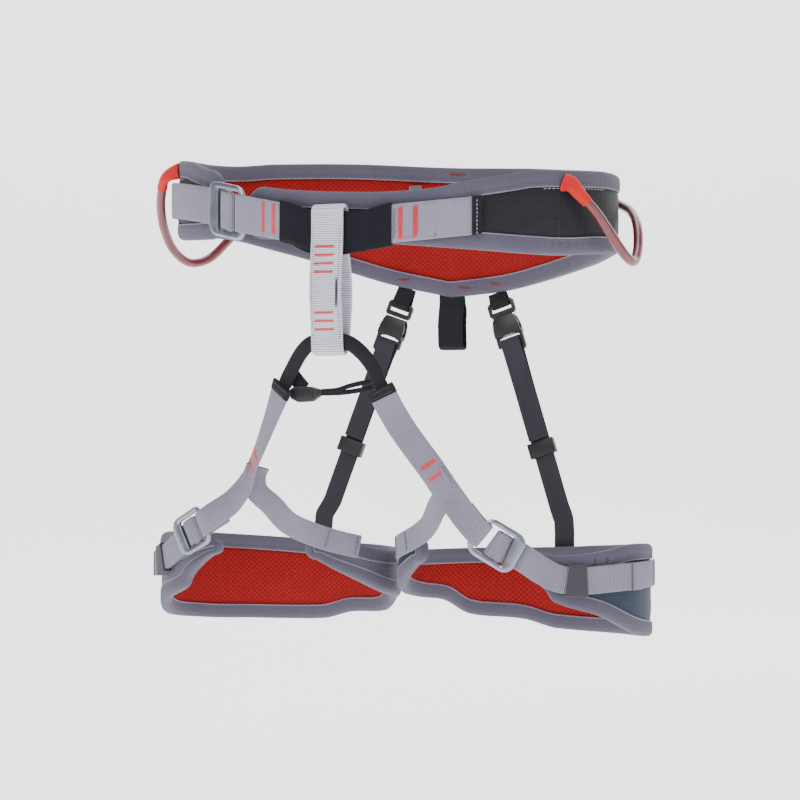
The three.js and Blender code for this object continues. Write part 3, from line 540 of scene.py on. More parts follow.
# ---- shader groups ----
class Tree:
    """Adds nodes to a node tree, in the order that they are used."""

    def __init__(self, tree):
        self.tree = tree

    def node(self, kind, inputs=(), **settings):
        made = self.tree.nodes.new(kind)
        for key, value in settings.items():
            setattr(made, key, value)
        for key, value in dict(inputs).items():
            self.put(made.inputs[key], value)
        return made

    def put(self, socket, value):
        if isinstance(value, bpy.types.NodeSocket):
            self.tree.links.new(value, socket)
        else:
            socket.default_value = value

    def math(self, operation, *values, clamp=False):
        made = self.node("ShaderNodeMath", operation=operation, use_clamp=clamp)
        for socket, value in zip(made.inputs, values):
            self.put(socket, value)
        return made.outputs[0]

    def rise(self, value, low, high):
        made = self.node("ShaderNodeMapRange", {"Value": value, "From Min": low, "From Max": high},
                         interpolation_type="SMOOTHSTEP")
        return made.outputs["Result"]

    def mix(self, share, first, second, blend="MIX"):
        made = self.node("ShaderNodeMix", data_type="RGBA", blend_type=blend)
        self.put(made.inputs["Factor"], share)
        self.put(made.inputs["A"], first)
        self.put(made.inputs["B"], second)
        return made.outputs["Result"]


def shader_group(name, inputs, outputs, build):
    """A node group made once, with its named inputs and outputs."""
    if name in bpy.data.node_groups:
        return bpy.data.node_groups[name]
    group = bpy.data.node_groups.new(name, "ShaderNodeTree")
    for label, kind, default in inputs:
        socket = group.interface.new_socket(label, in_out="INPUT", socket_type=kind)
        if default is not None:
            socket.default_value = default
    for label in outputs:
        group.interface.new_socket(label, in_out="OUTPUT", socket_type="NodeSocketFloat")
    tree = Tree(group)
    entry = tree.node("NodeGroupInput")
    results = build(tree, entry.outputs)
    exit_node = tree.node("NodeGroupOutput")
    for label in outputs:
        tree.put(exit_node.inputs[label], results[label])
    return group


VECTOR, FLOAT = "NodeSocketVector", "NodeSocketFloat"


def tape_weave():
    """Ribs across a tape and yarns along it, both as pitches in mm."""
    def build(tree, given):
        place = tree.node("ShaderNodeSeparateXYZ", {"Vector": given["Vector"]}).outputs
        down = tree.math("DIVIDE", tree.math("MULTIPLY", place["Y"], 1000), given["Rib"])
        over = tree.math("DIVIDE", tree.math("MULTIPLY", place["X"], 1000), given["Yarn"])
        odd = tree.math("MULTIPLY", tree.math("FLOOR", down), 0.5)
        shifted = tree.math("ADD", over, odd)
        rib = tree.math("ABSOLUTE", tree.math("SINE", tree.math("MULTIPLY", down, math.pi)))
        yarn = tree.math("ABSOLUTE", tree.math("SINE", tree.math("MULTIPLY", shifted, math.pi)))
        woven = tree.math("MULTIPLY", rib, yarn)
        plain = tree.math("MULTIPLY", rib, given["Ribbed"])
        rest = tree.math("MULTIPLY", woven, tree.math("SUBTRACT", 1, given["Ribbed"]))
        height = tree.math("ADD", plain, rest)
        # Shade is painted shade: darker where the yarns sink, lighter on their raised tops.
        return {"Height": height, "Shade": tree.rise(height, 0.1, 0.75)}
    return shader_group("Tape weave", [("Vector", VECTOR, None), ("Rib", FLOAT, 1.0), ("Yarn", FLOAT, 1.0),
                                       ("Ribbed", FLOAT, 0.5)], ["Height", "Shade"], build)


def spacer_mesh():
    """Dimples in staggered rows, as in a spacer mesh, with the cell's size in mm."""
    def build(tree, given):
        place = tree.node("ShaderNodeSeparateXYZ", {"Vector": given["Vector"]}).outputs
        across = tree.math("DIVIDE", tree.math("MULTIPLY", place["X"], 1000), given["Width"])
        up = tree.math("DIVIDE", tree.math("MULTIPLY", place["Y"], 1000), given["Height of cell"])
        nearest = []
        for shift in (0, 0.5):
            u = tree.math("SUBTRACT", tree.math("FRACT", tree.math("ADD", across, shift)), 0.5)
            v = tree.math("SUBTRACT", tree.math("FRACT", tree.math("ADD", up, shift)), 0.5)
            squares = tree.math("ADD", tree.math("MULTIPLY", u, u), tree.math("MULTIPLY", v, v))
            nearest.append(tree.math("SQRT", squares))
        gap = tree.math("MINIMUM", *nearest)
        threads = tree.node("ShaderNodeTexVoronoi",
                            {"Vector": given["Vector"], "Scale": 1500.0}).outputs["Distance"]
        height = tree.math("SUBTRACT", tree.rise(gap, 0.12, 0.4), tree.math("MULTIPLY", threads, 0.2))
        # Shade is painted shade: darker in the dimples, lighter on the threads between them.
        return {"Height": height, "Shade": tree.rise(gap, 0.1, 0.36), "Threads": threads}
    return shader_group("Spacer mesh", [("Vector", VECTOR, None), ("Width", FLOAT, 4.2),
                                        ("Height of cell", FLOAT, 3.6)], ["Height", "Shade", "Threads"],
                                        build)


def ripstop():
    """A fine plain weave with heavier threads in a square grid, both as pitches in mm."""
    def build(tree, given):
        place = tree.node("ShaderNodeSeparateXYZ", {"Vector": given["Vector"]}).outputs
        lines = []
        fine = []
        for axis in ("X", "Y"):
            mm = tree.math("MULTIPLY", place[axis], 1000)
            cell = tree.math("SUBTRACT", tree.math("FRACT", tree.math("DIVIDE", mm, given["Square"])), 0.5)
            lines.append(tree.rise(tree.math("ABSOLUTE", cell), 0.41, 0.49))
            fine.append(tree.math("ABSOLUTE", tree.math("SINE", tree.math("MULTIPLY", mm, math.pi / 0.55))))
        grid = tree.math("MAXIMUM", *lines)
        weave = tree.math("MULTIPLY", *fine)
        height = tree.math("ADD", grid, tree.math("MULTIPLY", weave, 0.35))
        return {"Height": height, "Grid": grid, "Weave": weave}
    return shader_group("Ripstop", [("Vector", VECTOR, None), ("Square", FLOAT, 5.0)],
                        ["Height", "Grid", "Weave"], build)


def cloth_tone():
    """Slow changes of tone over a cloth, and the fuzz of its fibres."""
    def build(tree, given):
        slow = tree.node("ShaderNodeTexNoise", {"Vector": given["Vector"], "Scale": 30.0, "Detail": 3.0})
        fuzz = tree.node("ShaderNodeTexNoise", {"Vector": given["Vector"], "Scale": 1400.0, "Detail": 2.0})
        tone = tree.math("ADD", tree.math("MULTIPLY", slow.outputs["Fac"], 0.6),
                         tree.math("MULTIPLY", fuzz.outputs["Fac"], 0.4))
        return {"Tone": tree.rise(tone, 0.3, 0.7), "Fuzz": fuzz.outputs["Fac"]}
    return shader_group("Cloth tone", [("Vector", VECTOR, None)], ["Tone", "Fuzz"], build)


def surface_wear():
    """Fine scratches and soft blotches on metal and plastic."""
    def build(tree, given):
        stretched = tree.node("ShaderNodeMapping", {"Vector": given["Vector"], "Scale": (300, 300, 2600)})
        scratch = tree.node("ShaderNodeTexNoise",
                            {"Vector": stretched.outputs[0], "Scale": 1.0, "Detail": 4.0})
        blotch = tree.node("ShaderNodeTexNoise", {"Vector": given["Vector"], "Scale": 90.0, "Detail": 3.0})
        grain = tree.node("ShaderNodeTexNoise", {"Vector": given["Vector"], "Scale": 2600.0, "Detail": 1.0})
        return {"Scratches": scratch.outputs["Fac"], "Blotches": blotch.outputs["Fac"],
                "Grain": grain.outputs["Fac"]}
    return shader_group("Surface wear", [("Vector", VECTOR, None)], ["Scratches", "Blotches", "Grain"],
                        build)


# ---- materials ----
def linear(rgb, gain=1.0):
    """A daylight colour as the shader's linear one."""
    def one(c):
        return c / 12.92 if c <= 0.04045 else ((c + 0.055) / 1.055) ** 2.4
    return (*[min(one(c) * gain, 1) for c in rgb], 1)


def new_material(name, **constants):
    """A material with its Principled shader, whose constants are set on the shader's own sockets."""
    material = bpy.data.materials.new(name)
    material.use_nodes = True
    shader = material.node_tree.nodes["Principled BSDF"]
    for key, value in constants.items():
        shader.inputs[key.replace("_", " ")].default_value = value
    return material, Tree(material.node_tree), shader


def put_bump(tree, shader, height, strength, depth):
    bump = tree.node("ShaderNodeBump", {"Height": height, "Strength": strength, "Distance": depth * MM})
    tree.put(shader.inputs["Normal"], bump.outputs["Normal"])


def cloth(name, rgb, pattern, values, bright=1.25, dark=0.55, strength=0.6, depth=0.25, rough=0.85,
          sheen=0.1):
    """A woven cloth: the pattern shades its colour and raises its threads."""
    if name in bpy.data.materials:
        return bpy.data.materials[name]
    material, tree, shader = new_material(name, Sheen_Weight=sheen, Sheen_Roughness=0.5,
                                          Specular_IOR_Level=0.25)
    coords = tree.node("ShaderNodeTexCoord").outputs
    woven = tree.node("ShaderNodeGroup", node_tree=pattern)
    tree.put(woven.inputs["Vector"], coords["UV"])
    for key, value in values.items():
        woven.inputs[key].default_value = value
    tone = tree.node("ShaderNodeGroup", node_tree=cloth_tone())
    tree.put(tone.inputs["Vector"], coords["Object"])
    # Painted shade and painted highlight: the weave's Shade darkens the colour in the hollows between yarns
    # and lightens it on their raised tops, and the cloth's own uneven tone is mixed in; dark and bright set
    # how far the colour goes each way.
    shade = woven.outputs["Shade"] if "Shade" in woven.outputs else woven.outputs["Height"]
    level = tree.math("ADD", tree.math("MULTIPLY", shade, 0.75),
                      tree.math("MULTIPLY", tone.outputs["Tone"], 0.25))
    colour_out = tree.mix(level, linear(rgb, dark), linear(rgb, bright))
    tree.put(shader.inputs["Base Color"], colour_out)
    lift = tree.math("MULTIPLY", tone.outputs["Fuzz"], 0.12)
    tree.put(shader.inputs["Roughness"], tree.math("ADD", lift, rough - 0.06))
    height = tree.math("ADD", woven.outputs["Height"], tree.math("MULTIPLY", tone.outputs["Fuzz"], 0.3))
    put_bump(tree, shader, height, strength, depth)
    return material


def colours():
    return bpy.context.scene.harness_colours


def sizes():
    return bpy.context.scene.harness_sizes


def lining_cloth():
    cell = {"Width": sizes().mesh_width / MM, "Height of cell": sizes().mesh_height / MM}
    return cloth("Red spacer mesh", colours().lining, spacer_mesh(), cell, bright=1.2, dark=0.55,
                 strength=0.5, depth=0.5, rough=0.8, sheen=0.0)


def binding_cloth():
    return cloth("Binding tape", colours().binding, tape_weave(), {"Rib": 0.9, "Yarn": 0.7, "Ribbed": 0.5},
                 bright=1.15, dark=0.55, strength=0.6, depth=0.2)


def shell_cloth(name, rgb, square=5.0):
    if name in bpy.data.materials:
        return bpy.data.materials[name]
    material, tree, shader = new_material(name, Sheen_Weight=0.04, Specular_IOR_Level=0.3)
    coords = tree.node("ShaderNodeTexCoord").outputs
    woven = tree.node("ShaderNodeGroup", {"Vector": coords["UV"], "Square": square}, node_tree=ripstop())
    tone = tree.node("ShaderNodeGroup", {"Vector": coords["Object"]}, node_tree=cloth_tone())
    level = tree.math("ADD", tree.math("MULTIPLY", woven.outputs["Grid"], 0.5),
                      tree.math("MULTIPLY", tone.outputs["Tone"], 0.5))
    tree.put(shader.inputs["Base Color"], tree.mix(level, linear(rgb, 0.75), linear(rgb, 1.5)))
    tree.put(shader.inputs["Roughness"],
             tree.math("SUBTRACT", 0.68, tree.math("MULTIPLY", woven.outputs["Weave"], 0.12)))
    put_bump(tree, shader, woven.outputs["Height"], 0.5, 0.15)
    return material


def grey_tape():
    return cloth("Grey webbing", colours().webbing, tape_weave(),
                 {"Rib": 1.15, "Yarn": 1.15, "Ribbed": 0.35},
                 bright=1.25, dark=0.3, strength=0.8, depth=0.4)


def belt_tape():
    return cloth("Ribbed grey webbing", colours().webbing, tape_weave(),
                 {"Rib": 1.15, "Yarn": 0.8, "Ribbed": 0.85},
                 bright=1.15, dark=0.5, strength=0.7, depth=0.35)


def belay_tape():
    pitch = sizes().rib / MM
    return cloth("Belay loop webbing", colours().belay, tape_weave(),
                 {"Rib": pitch, "Yarn": 1.0, "Ribbed": 0.9},
                 bright=1.25, dark=0.30, strength=0.4, depth=0.25)


def black_tape(name="Black webbing", rib=1.4, ribbed=0.85):
    return cloth(name, colours().black_web, tape_weave(), {"Rib": rib, "Yarn": 1.0, "Ribbed": ribbed},
                 bright=1.5, dark=0.4, strength=0.6, depth=0.3, sheen=0.04)


def elastic_tape():
    return cloth("Charcoal elastic", colours().elastic, tape_weave(),
                 {"Rib": 0.8, "Yarn": 1.3, "Ribbed": 0.2},
                 bright=1.2, dark=0.6, strength=0.4, depth=0.2)


def keeper_tape():
    return cloth("Keeper elastic", colours().keeper, tape_weave(), {"Rib": 0.7, "Yarn": 1.1, "Ribbed": 0.3},
                 bright=1.1, dark=0.75, strength=0.3, depth=0.15)


def thread(name, rgb, rough=0.6):
    if name in bpy.data.materials:
        return bpy.data.materials[name]
    material, tree, shader = new_material(name, Sheen_Weight=0.3, Specular_IOR_Level=0.35)
    coords = tree.node("ShaderNodeTexCoord").outputs
    tone = tree.node("ShaderNodeGroup", {"Vector": coords["Object"]}, node_tree=cloth_tone())
    tree.put(shader.inputs["Base Color"],
             tree.mix(tone.outputs["Tone"], linear(rgb, 0.75), linear(rgb, 1.2)))
    tree.put(shader.inputs["Roughness"],
             tree.math("ADD", tree.math("MULTIPLY", tone.outputs["Fuzz"], 0.2), rough))
    put_bump(tree, shader, tone.outputs["Fuzz"], 0.3, 0.1)
    return material


def hard(name, rgb, rough, metallic=0.0, grain=0.15, **constants):
    """Metal or moulded plastic with worn tone, fine scratches and grain."""
    if name in bpy.data.materials:
        return bpy.data.materials[name]
    material, tree, shader = new_material(name, Metallic=metallic, **constants)
    coords = tree.node("ShaderNodeTexCoord").outputs
    worn = tree.node("ShaderNodeGroup", {"Vector": coords["Object"]}, node_tree=surface_wear())
    tone = tree.rise(worn.outputs["Blotches"], 0.35, 0.7)
    tree.put(shader.inputs["Base Color"], tree.mix(tone, linear(rgb, 0.85), linear(rgb, 1.1)))
    lift = tree.math("ADD", tree.math("MULTIPLY", worn.outputs["Scratches"], 0.14),
                     tree.math("MULTIPLY", worn.outputs["Blotches"], 0.1))
    tree.put(shader.inputs["Roughness"], tree.math("ADD", lift, rough - 0.12))
    height = tree.math("ADD", worn.outputs["Grain"], tree.math("MULTIPLY", worn.outputs["Scratches"], 0.6))
    put_bump(tree, shader, height, grain, 0.05)
    return material


def buckle_metal():
    return hard("Satin aluminium", colours().metal, 0.34, metallic=1.0, grain=0.12)


def clip_plastic():
    return hard("Black acetal", colours().plastic, 0.46, grain=0.25, Specular_IOR_Level=0.5)


def dark_thread():
    return thread("Dark seam thread", (0.2, 0.19, 0.23))


def red_thread():
    return thread("Red bar tack thread", colours().thread)


def pale_thread():
    return thread("Pale seam thread", (0.78, 0.77, 0.8))


def grey_thread():
    return thread("Grey seam thread", (0.45, 0.44, 0.48))


# ---- pads ----
def rim_width(edges, size, angle):
    return min(size["rim"], 0.35 * (edges.top(angle) - edges.bottom(angle)))


def rim_outline(wall, edges, size, count):
    """Rows round a pad's edge: the angle and height of its rim, and of the binding's inner edge there."""
    def inset(end):
        return min(size["corner"], 0.49 * (edges.top(end) - edges.bottom(end)))

    def corner(end, direction):
        radius = inset(end)
        inner = radius - rim_width(edges, size, end)
        degree = wall.per_degree(end)
        centre = end - direction * radius / degree
        for half in ((1, -1) if direction > 0 else (-1, 1)):
            z = edges.top(centre) - radius if half > 0 else edges.bottom(centre) + radius
            for a in (steps(90, 0, 9) if half * direction > 0 else steps(0, 90, 9)):
                s, c = math.sin(math.radians(a)), math.cos(math.radians(a))
                yield (centre + direction * radius * c / degree, z + half * radius * s,
                       centre + direction * inner * c / degree, z + half * inner * s)
    first = size["from"] + inset(size["from"]) / wall.per_degree(size["from"]) + 1.5
    last = size["to"] - inset(size["to"]) / wall.per_degree(size["to"]) - 1.5
    angles = steps(first, last, count)
    top = [(a, edges.top(a), a, edges.top(a) - rim_width(edges, size, a)) for a in angles]
    bottom = [(a, edges.bottom(a), a, edges.bottom(a) + rim_width(edges, size, a))
              for a in reversed(angles)]
    return top + list(corner(size["to"], 1)) + bottom + list(corner(size["from"], -1))


def make_binding(prefix, wall, edges, size, body, count):
    """The tape folded over a pad's edge, with its piping and its seam on each face."""
    outline = rim_outline(wall, edges, size, count)
    turns = len(outline)
    lengths = [0]
    for i, row in enumerate(outline):
        ahead = outline[(i + 1) % turns]
        lengths.append(lengths[-1]
                       + (wall.place(ahead[0], 0, ahead[1]) - wall.place(row[0], 0, row[1])).length)
    face = size["half"] + RIM_PROUD
    top = [(1.0, face - 0.35), (0.97, face - 0.05), (0.9, face), (0.8, face - 0.1), (0.68, face + 0.05),
           (0.5, face + 0.12), (0.3, face), (0.14, face - 0.6)]
    rim = [(0.03, face - 1.9), (0.0, 0.45 * face), (-0.012, 0), (0.0, -0.45 * face), (0.03, 1.9 - face)]
    ring = top + rim + [(w, -v) for w, v in reversed(top)] + [(1.0, 0)]

    def spot(i, w, out):
        angle, z, inner_angle, inner_z = outline[i % turns]
        return wall.place(angle + (inner_angle - angle) * w, out, z + (inner_z - z) * w)

    def place(s, t):
        i = round(s * turns) % turns
        w, out = ring[round(t * len(ring)) % len(ring)]
        wave = noise.noise(Vector((lengths[i] * 0.035, out * 0.05, size["rim"]))) * 0.55
        pucker = 0.13 * math.sin(lengths[i] * math.tau / 5.2 + 2 * wave) * (0.4 < w < 0.98)
        return spot(i, w, out + math.copysign(pucker + wave * 0.5, out) * (abs(out) > 1))

    def uv(s, t):
        return 2.2 * ring[round(t * len(ring)) % len(ring)][0] * size["rim"], lengths[round(s * turns)]
    tape = piece(f"{prefix}_edge_binding", close_up(mapped_grid(turns, len(ring), place, uv)),
                 binding_cloth())
    attach(tape, body, "binding_fabric", f"{prefix}_binding")

    for side, where in ((1, "outer"), (-1, "inner")):
        picked = range(0, turns, 2)
        line = [spot(i, 1.045, side * (face - 0.35)) for i in picked]
        normals = [wall.normal(outline[i][0]) for i in picked]
        cord = sweep(stations_on(line, normals, closed=True), round_ring(sizes().piping / MM, 8),
                     closed=True)
        cord = piece(f"{prefix}_piping_{where}", cord, thread("Piping", (0.45, 0.44, 0.5), 0.7),
                     smooth_angle=180)
        attach(cord, body, "grey_webbing")
    seam = []
    for side in (1, -1):
        places = [(spot(i, 0.8, side * (face - 0.02)), wall.normal(outline[i % turns][0]) * side)
                  for i in range(turns + 1)]
        seam += row_spots(places, sizes().stitch_gap / MM, sizes().stitch / MM)
    attach(sewn(f"{prefix}_binding_seam", seam, 0.26, dark_thread()), body, "binding_fabric")


class Cover:
    """A pad's skin round its foam. s runs along it; t runs up its outer face and down its inner one."""

    def __init__(self, wall, edges, size):
        self.wall, self.edges, self.size = wall, edges, size
        self.start = size["from"] + self.hidden(size["from"]) / wall.per_degree(size["from"])
        self.end = size["to"] - self.hidden(size["to"]) / wall.per_degree(size["to"])
        self.lengths = [0]
        angles = steps(self.start, self.end, 400)
        for a, b in zip(angles, angles[1:]):
            self.lengths.append(self.lengths[-1] + wall.per_degree((a + b) / 2) * (b - a))
        self.length = self.lengths[-1]

    def hidden(self, angle):
        return 0.65 * rim_width(self.edges, self.size, angle)

    def spot(self, s, t):
        """Angle, height, distance out, share of the height and distance along, without any swelling."""
        t = t % 1
        angle = self.start + (self.end - self.start) * s
        along = self.lengths[min(int(s * 400), 399)]
        along += (self.lengths[min(int(s * 400), 399) + 1] - along) * (s * 400 - min(int(s * 400), 399))
        near = min(along, self.length - along)
        radius = min(self.size["corner"], 0.49 * (self.edges.top(angle) - self.edges.bottom(angle)))
        radius = max(radius - self.hidden(angle), 0.5)
        shorter = radius - math.sqrt(max(radius ** 2 - max(radius - near, 0) ** 2, 0))
        low = self.edges.bottom(angle) + self.hidden(angle) + shorter
        high = self.edges.top(angle) - self.hidden(angle) - shorter
        share = 2 * t if t < 0.5 else 2 - 2 * t
        full = 1 - abs(2 * share - 1) ** 6
        out = self.size["half"] * (0.3 + 0.66 * full) * (0.35 + 0.65 * ramp(near, 0, 4))
        return angle, low + (high - low) * share, out if t < 0.5 else -out, share, along

    def swell(self, rows=9):
        """How far the cover stands out after cloth under pressure has filled it, on a coarse grid in mm."""
        columns = round(self.length / SWELL_CELL)
        field = np.zeros((columns + 1, 2 * rows + 1))

        def place(s, t):
            angle, z, out, _, _ = self.spot(s, t)
            return self.wall.place(angle, out, z)
        pad = piece("swelling", close_up(mapped_grid(columns, 2 * rows, place, lambda s, t: (s, t))))
        held = pad.vertex_groups.new(name="held")
        spots = {}
        for loop, where in zip(pad.data.loops, pad.data.uv_layers[0].data):
            i, j = round(where.uv.x / MM * columns), round(where.uv.y / MM * 2 * rows)
            spots[i, j] = loop.vertex_index
            if j % rows in (0, 1, rows - 1) or not 2 < i < columns - 2:
                held.add([loop.vertex_index], 1.0, "REPLACE")
        rest = [vert.co.copy() for vert in pad.data.vertices]
        fill = pad.modifiers.new("fill", "CLOTH")
        fill.settings.vertex_group_mass = "held"
        fill.settings.use_pressure = True
        fill.settings.uniform_pressure_force = sizes().puff
        fill.settings.tension_stiffness = fill.settings.compression_stiffness = SWELL_STIFFNESS
        fill.settings.effector_weights.gravity = 0
        for number in range(1, SWELL_FRAMES + 1):
            bpy.context.scene.frame_set(number)
        filled = pad.evaluated_get(bpy.context.evaluated_depsgraph_get()).data
        for (i, j), index in spots.items():
            angle = self.start + (self.end - self.start) * i / columns
            shift = (filled.vertices[index].co - rest[index]) / MM
            field[i, j] = max(-SWELL_MOST, min(SWELL_MOST, shift.dot(self.wall.normal(angle))))
        bpy.context.scene.frame_set(1)
        bpy.data.objects.remove(pad)
        return field


def make_cover(prefix, wall, edges, size, body, material, outer_cap, inner_cap):
    """A pad's outer shell and mesh lining, as one crowned skin."""
    cover = Cover(wall, edges, size)
    field = cover.swell()
    cell = min(sizes().mesh_width, sizes().mesh_height) / MM
    columns = round(cover.length / (cell * 0.29))
    tall = max(edges.top(a) - edges.bottom(a) for a in steps(size["from"], size["to"], 20))
    outer, inner = 16, round(tall / (cell * 0.29))

    def along_t(t):
        j = round(t * (outer + inner))
        return 0.5 * j / outer if j <= outer else 0.5 + 0.5 * (j - outer) / inner

    def swelling(s, t):
        x, y = s * (field.shape[0] - 1), t * (field.shape[1] - 1)
        i, j = min(int(x), field.shape[0] - 2), min(int(y), field.shape[1] - 2)
        near = field[i, j] * (1 - x + i) + field[i + 1, j] * (x - i)
        far = field[i, j + 1] * (1 - x + i) + field[i + 1, j + 1] * (x - i)
        return near * (1 - y + j) + far * (y - j)

    def place(s, t):
        t = along_t(t) % 1
        angle, z, out, share, along = cover.spot(s, t)
        inside = t > 0.5
        puffed = swelling(s, t)
        puffed = max(puffed, -inner_cap) if inside else min(puffed, outer_cap)
        crease = 0.3 * noise.noise(Vector((along * 0.05, z * 0.09, 7 if inside else 2)))
        relief = 0
        if inside and 0.03 < share < 0.97:
            relief = -0.5 * mesh_height(along, z)
        return wall.place(angle, out + puffed + crease + relief, z)

    def uv(s, t):
        _, z, _, _, along = cover.spot(s, along_t(t))
        return along, z
    bm = mapped_grid(columns, outer + inner, place, uv, lambda s, t: int(t > outer / (outer + inner)))
    made = piece(f"{prefix}_pad", close_up(bm), material, lining_cloth())
    attach(made, body, {"waist": "black_shell", "leg_left": "blue_shell",
                        "leg_right": "grey_shell"}[prefix],
           f"{prefix}_foam", f"{prefix}_shell", f"{prefix}_lining")


def mesh_height(u, v):
    """The lining's relief at a place on its cloth in mm, from -1 in a dimple to 0 on the threads."""
    across, up = u * MM / sizes().mesh_width, v * MM / sizes().mesh_height
    gap = min(math.hypot((across + k) % 1 - 0.5, (up + k) % 1 - 0.5) for k in (0, 0.5))
    return ramp(gap, 0.08, 0.38) - 1


def attach(obj, body, slot, *nodes):
    """The piece moves with its body and stands for these CAD nodes; its slot is not used."""
    if nodes:
        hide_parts(*nodes)
    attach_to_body(obj, body)
    return obj


def blended(obj, bodies, high, low, slot, *nodes):
    """The piece's transform is baked into its mesh and it stands for these CAD nodes; its bodies and the
    two heights in mm are not used.
    """
    if nodes:
        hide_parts(*nodes)
    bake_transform(obj)
    return obj


FRONT = ("waist_belt", "belay_loop")


# ---- straps ----
def make_strap(name, run, rows, web, material, wide_at=None, crown=0.14, step=1.0, ring=None):
    """A woven strap on a run, through rows of (along, out)."""
    stations = stations_of(run, rows, step)
    ring = ring or tape_ring(*web, crown=crown)
    if wide_at is None:
        return piece(name, sweep(stations, ring), material)
    line = spline(rows, step, longest=4)
    rings = [shaped(ring, wide=wide_at(p.x) / web[0]) for p in line]
    return piece(name, sweep(stations, rings), material)


def waist_lift(angle):
    away = abs(angle - TIE_IN["middle"])
    return TIE_IN["lift"] * (1 - ramp(away, TIE_IN["flat"], TIE_IN["flat"] + TIE_IN["fade"]))


def front_lift(angle):
    return TIE_IN["lift"] if angle < TIE_IN["middle"] else waist_lift(angle)


def tie_in_width(along):
    away = abs(along - along_waist(TIE_IN["middle"]))
    return TIE_IN["narrow"] + (WAIST_WEB[0] - TIE_IN["narrow"]) * ramp(away, 14, 34)


def tie_in_rows():
    half = WAIST_WEB[1] / 2
    buckle = WAIST_BUCKLE
    bar = along_waist(buckle["angle"]) + buckle["half"] - buckle["bar"]
    over, under = buckle["level"] + buckle["deep"] + 0.5 + half, buckle["level"] - 0.5 - half
    front = [(along_waist(a), 0.6 + half + front_lift(a))
             for a in steps(TIE_IN["left"], SLEEVE["from"] - 5, 9)]
    turn = arc(bar + 0.8, (over + under) / 2, (over - under) / 2, 90, 270, 8)
    return front + [(bar + 9, over - 0.6), (bar + 5, over)] + turn + [(bar + 8, under - 0.2),
                                                                      (bar + 22, 1.9)]


def lock_place(buckle):
    return -buckle["half"] + buckle["plate"] + 7.6


def buckle_rows(centre, buckle, anchor, tail, web):
    """The free strap: from its anchor, under the buckle, round the lock bar and back as the tail."""
    t = web[1] / 2
    low = 0.45 + t
    second = low + 2 * t + 0.35
    over = 5.9 + t
    middle = lock_place(buckle)
    radius = (over - low) / 2
    rows = [(middle - 1, low), *arc(middle + 3.6, low + radius, radius, -90, 90, 8), (middle - 2.2, over),
            (middle - 3.8, over - 0.6), (middle - 5.4, (over + second) / 2 + 0.2),
            (middle - 7, second + 0.3),
            (middle - 8.6, second)]
    rows = [(centre + buckle["flip"] * u, out) for u, out in rows]
    return [(anchor, low), *rows, (tail, second)]


def make_keeper(name, run, centre, length, web, material, body, slot, node):
    """An elastic band over a strap's layers."""
    side, top = web[0] / 2 + 1.6, 0.45 + 2 * web[1] + 0.35 + 1.4
    outer = [(-side, 0.35)] + [(-side + 1.2 + u, top - 1.2 + v) for u, v in arc(0, 0, 1.2, 180, 90, 4)]
    outer += [(u, top + 0.15 * (1 - (u / side) ** 2)) for u in steps(-side + 3, side - 3, 6)]
    outer += [(side - 1.2 + u, top - 1.2 + v) for u, v in arc(0, 0, 1.2, 90, 0, 4)] + [(side, 0.35)]
    wall = 0.9
    inner = [(u - math.copysign(wall, u) * (abs(u) > side - 2.4), v - wall * (v > 1.2)) for u, v in outer]
    stations = []
    for along in steps(centre - length / 2, centre + length / 2, 14):
        point = run.at(along, 0, 0)
        stations.append(Station(point, run.at(along, 0, 1) - point, run.at(along, 1, 0) - point, along))
    ring = outer + inner[::-1]
    bend = [shaped(ring, lift=0.12 * math.sin(3.1 * i / 14)) for i in range(15)]
    attach(piece(name, sweep(stations, bend), material), body, slot, node)


def on_run(run, out):
    """Places on a strap's face, with their outward direction, for the sewing."""
    def at(along, across):
        point = run.at(along, out, across)
        return point, (run.at(along, out + 1, across) - point).normalized()
    return at


# ---- buckles ----
def rounded_outline(half, half_width, corner, count=8):
    points = []
    for u, v, start in ((1, 1, 0), (-1, 1, 90), (-1, -1, 180), (1, -1, 270)):
        points += arc(u * (half - corner), v * (half_width - corner), corner, start, start + 90, count)
    return points


def make_buckle(name, run, centre, buckle, body, node):
    """A forged frame: a broad plate at one end, a bar at the other, and rails beside the slot."""
    low, high = -buckle["half"] + buckle["plate"], buckle["half"] - buckle["bar"]
    outer = rounded_outline(buckle["half"], buckle["slot"] + buckle["rail"], 8)
    inner = [(u + (low + high) / 2, v) for u, v in rounded_outline((high - low) / 2, buckle["slot"], 1.5)]
    r, deep = 0.75, buckle["deep"]
    turn = [(r - r * math.cos(a), r - r * math.sin(a)) for a in steps(0, math.pi / 2, 4)]
    bottom = [(0, inset, dip) for inset, dip in turn]
    top = [(0, inset, deep - dip) for inset, dip in reversed(turn)]
    crown = [(None, share, deep + 0.45 * math.sin(math.pi * share)) for share in (0.3, 0.5, 0.7)]
    section = bottom[::-1] + top[::-1] + crown
    section += [(1, inset, out) for _, inset, out in top] + [(1, inset, out) for _, inset, out in bottom]

    def place(s, t):
        i = round(s * len(outer)) % len(outer)
        edge, inset, out = section[round(t * len(section)) % len(section)]
        a, b = Vector(outer[i]), Vector(inner[i])
        share = inset / (b - a).length if edge is not None else inset
        u, v = a.lerp(b, 1 - share if edge == 1 else share)
        bulge = 0.8 * ramp(-u, 3, buckle["half"] - 2) * (out > 0.5 * deep)
        return run.at(centre + buckle["flip"] * u, buckle["level"] + out + bulge, v)
    bm = mapped_grid(len(outer), len(section), place, lambda s, t: (100 * s, 20 * t))
    attach(piece(name, close_up(bm), buckle_metal(), smooth_angle=50), body, "aluminium", node)


# ---- operators ----
class HarnessOperator:
    """What the harness's operators have in common."""
    bl_options = {"REGISTER", "UNDO"}

    def execute(self, context):
        self.make(context)
        return {"FINISHED"}


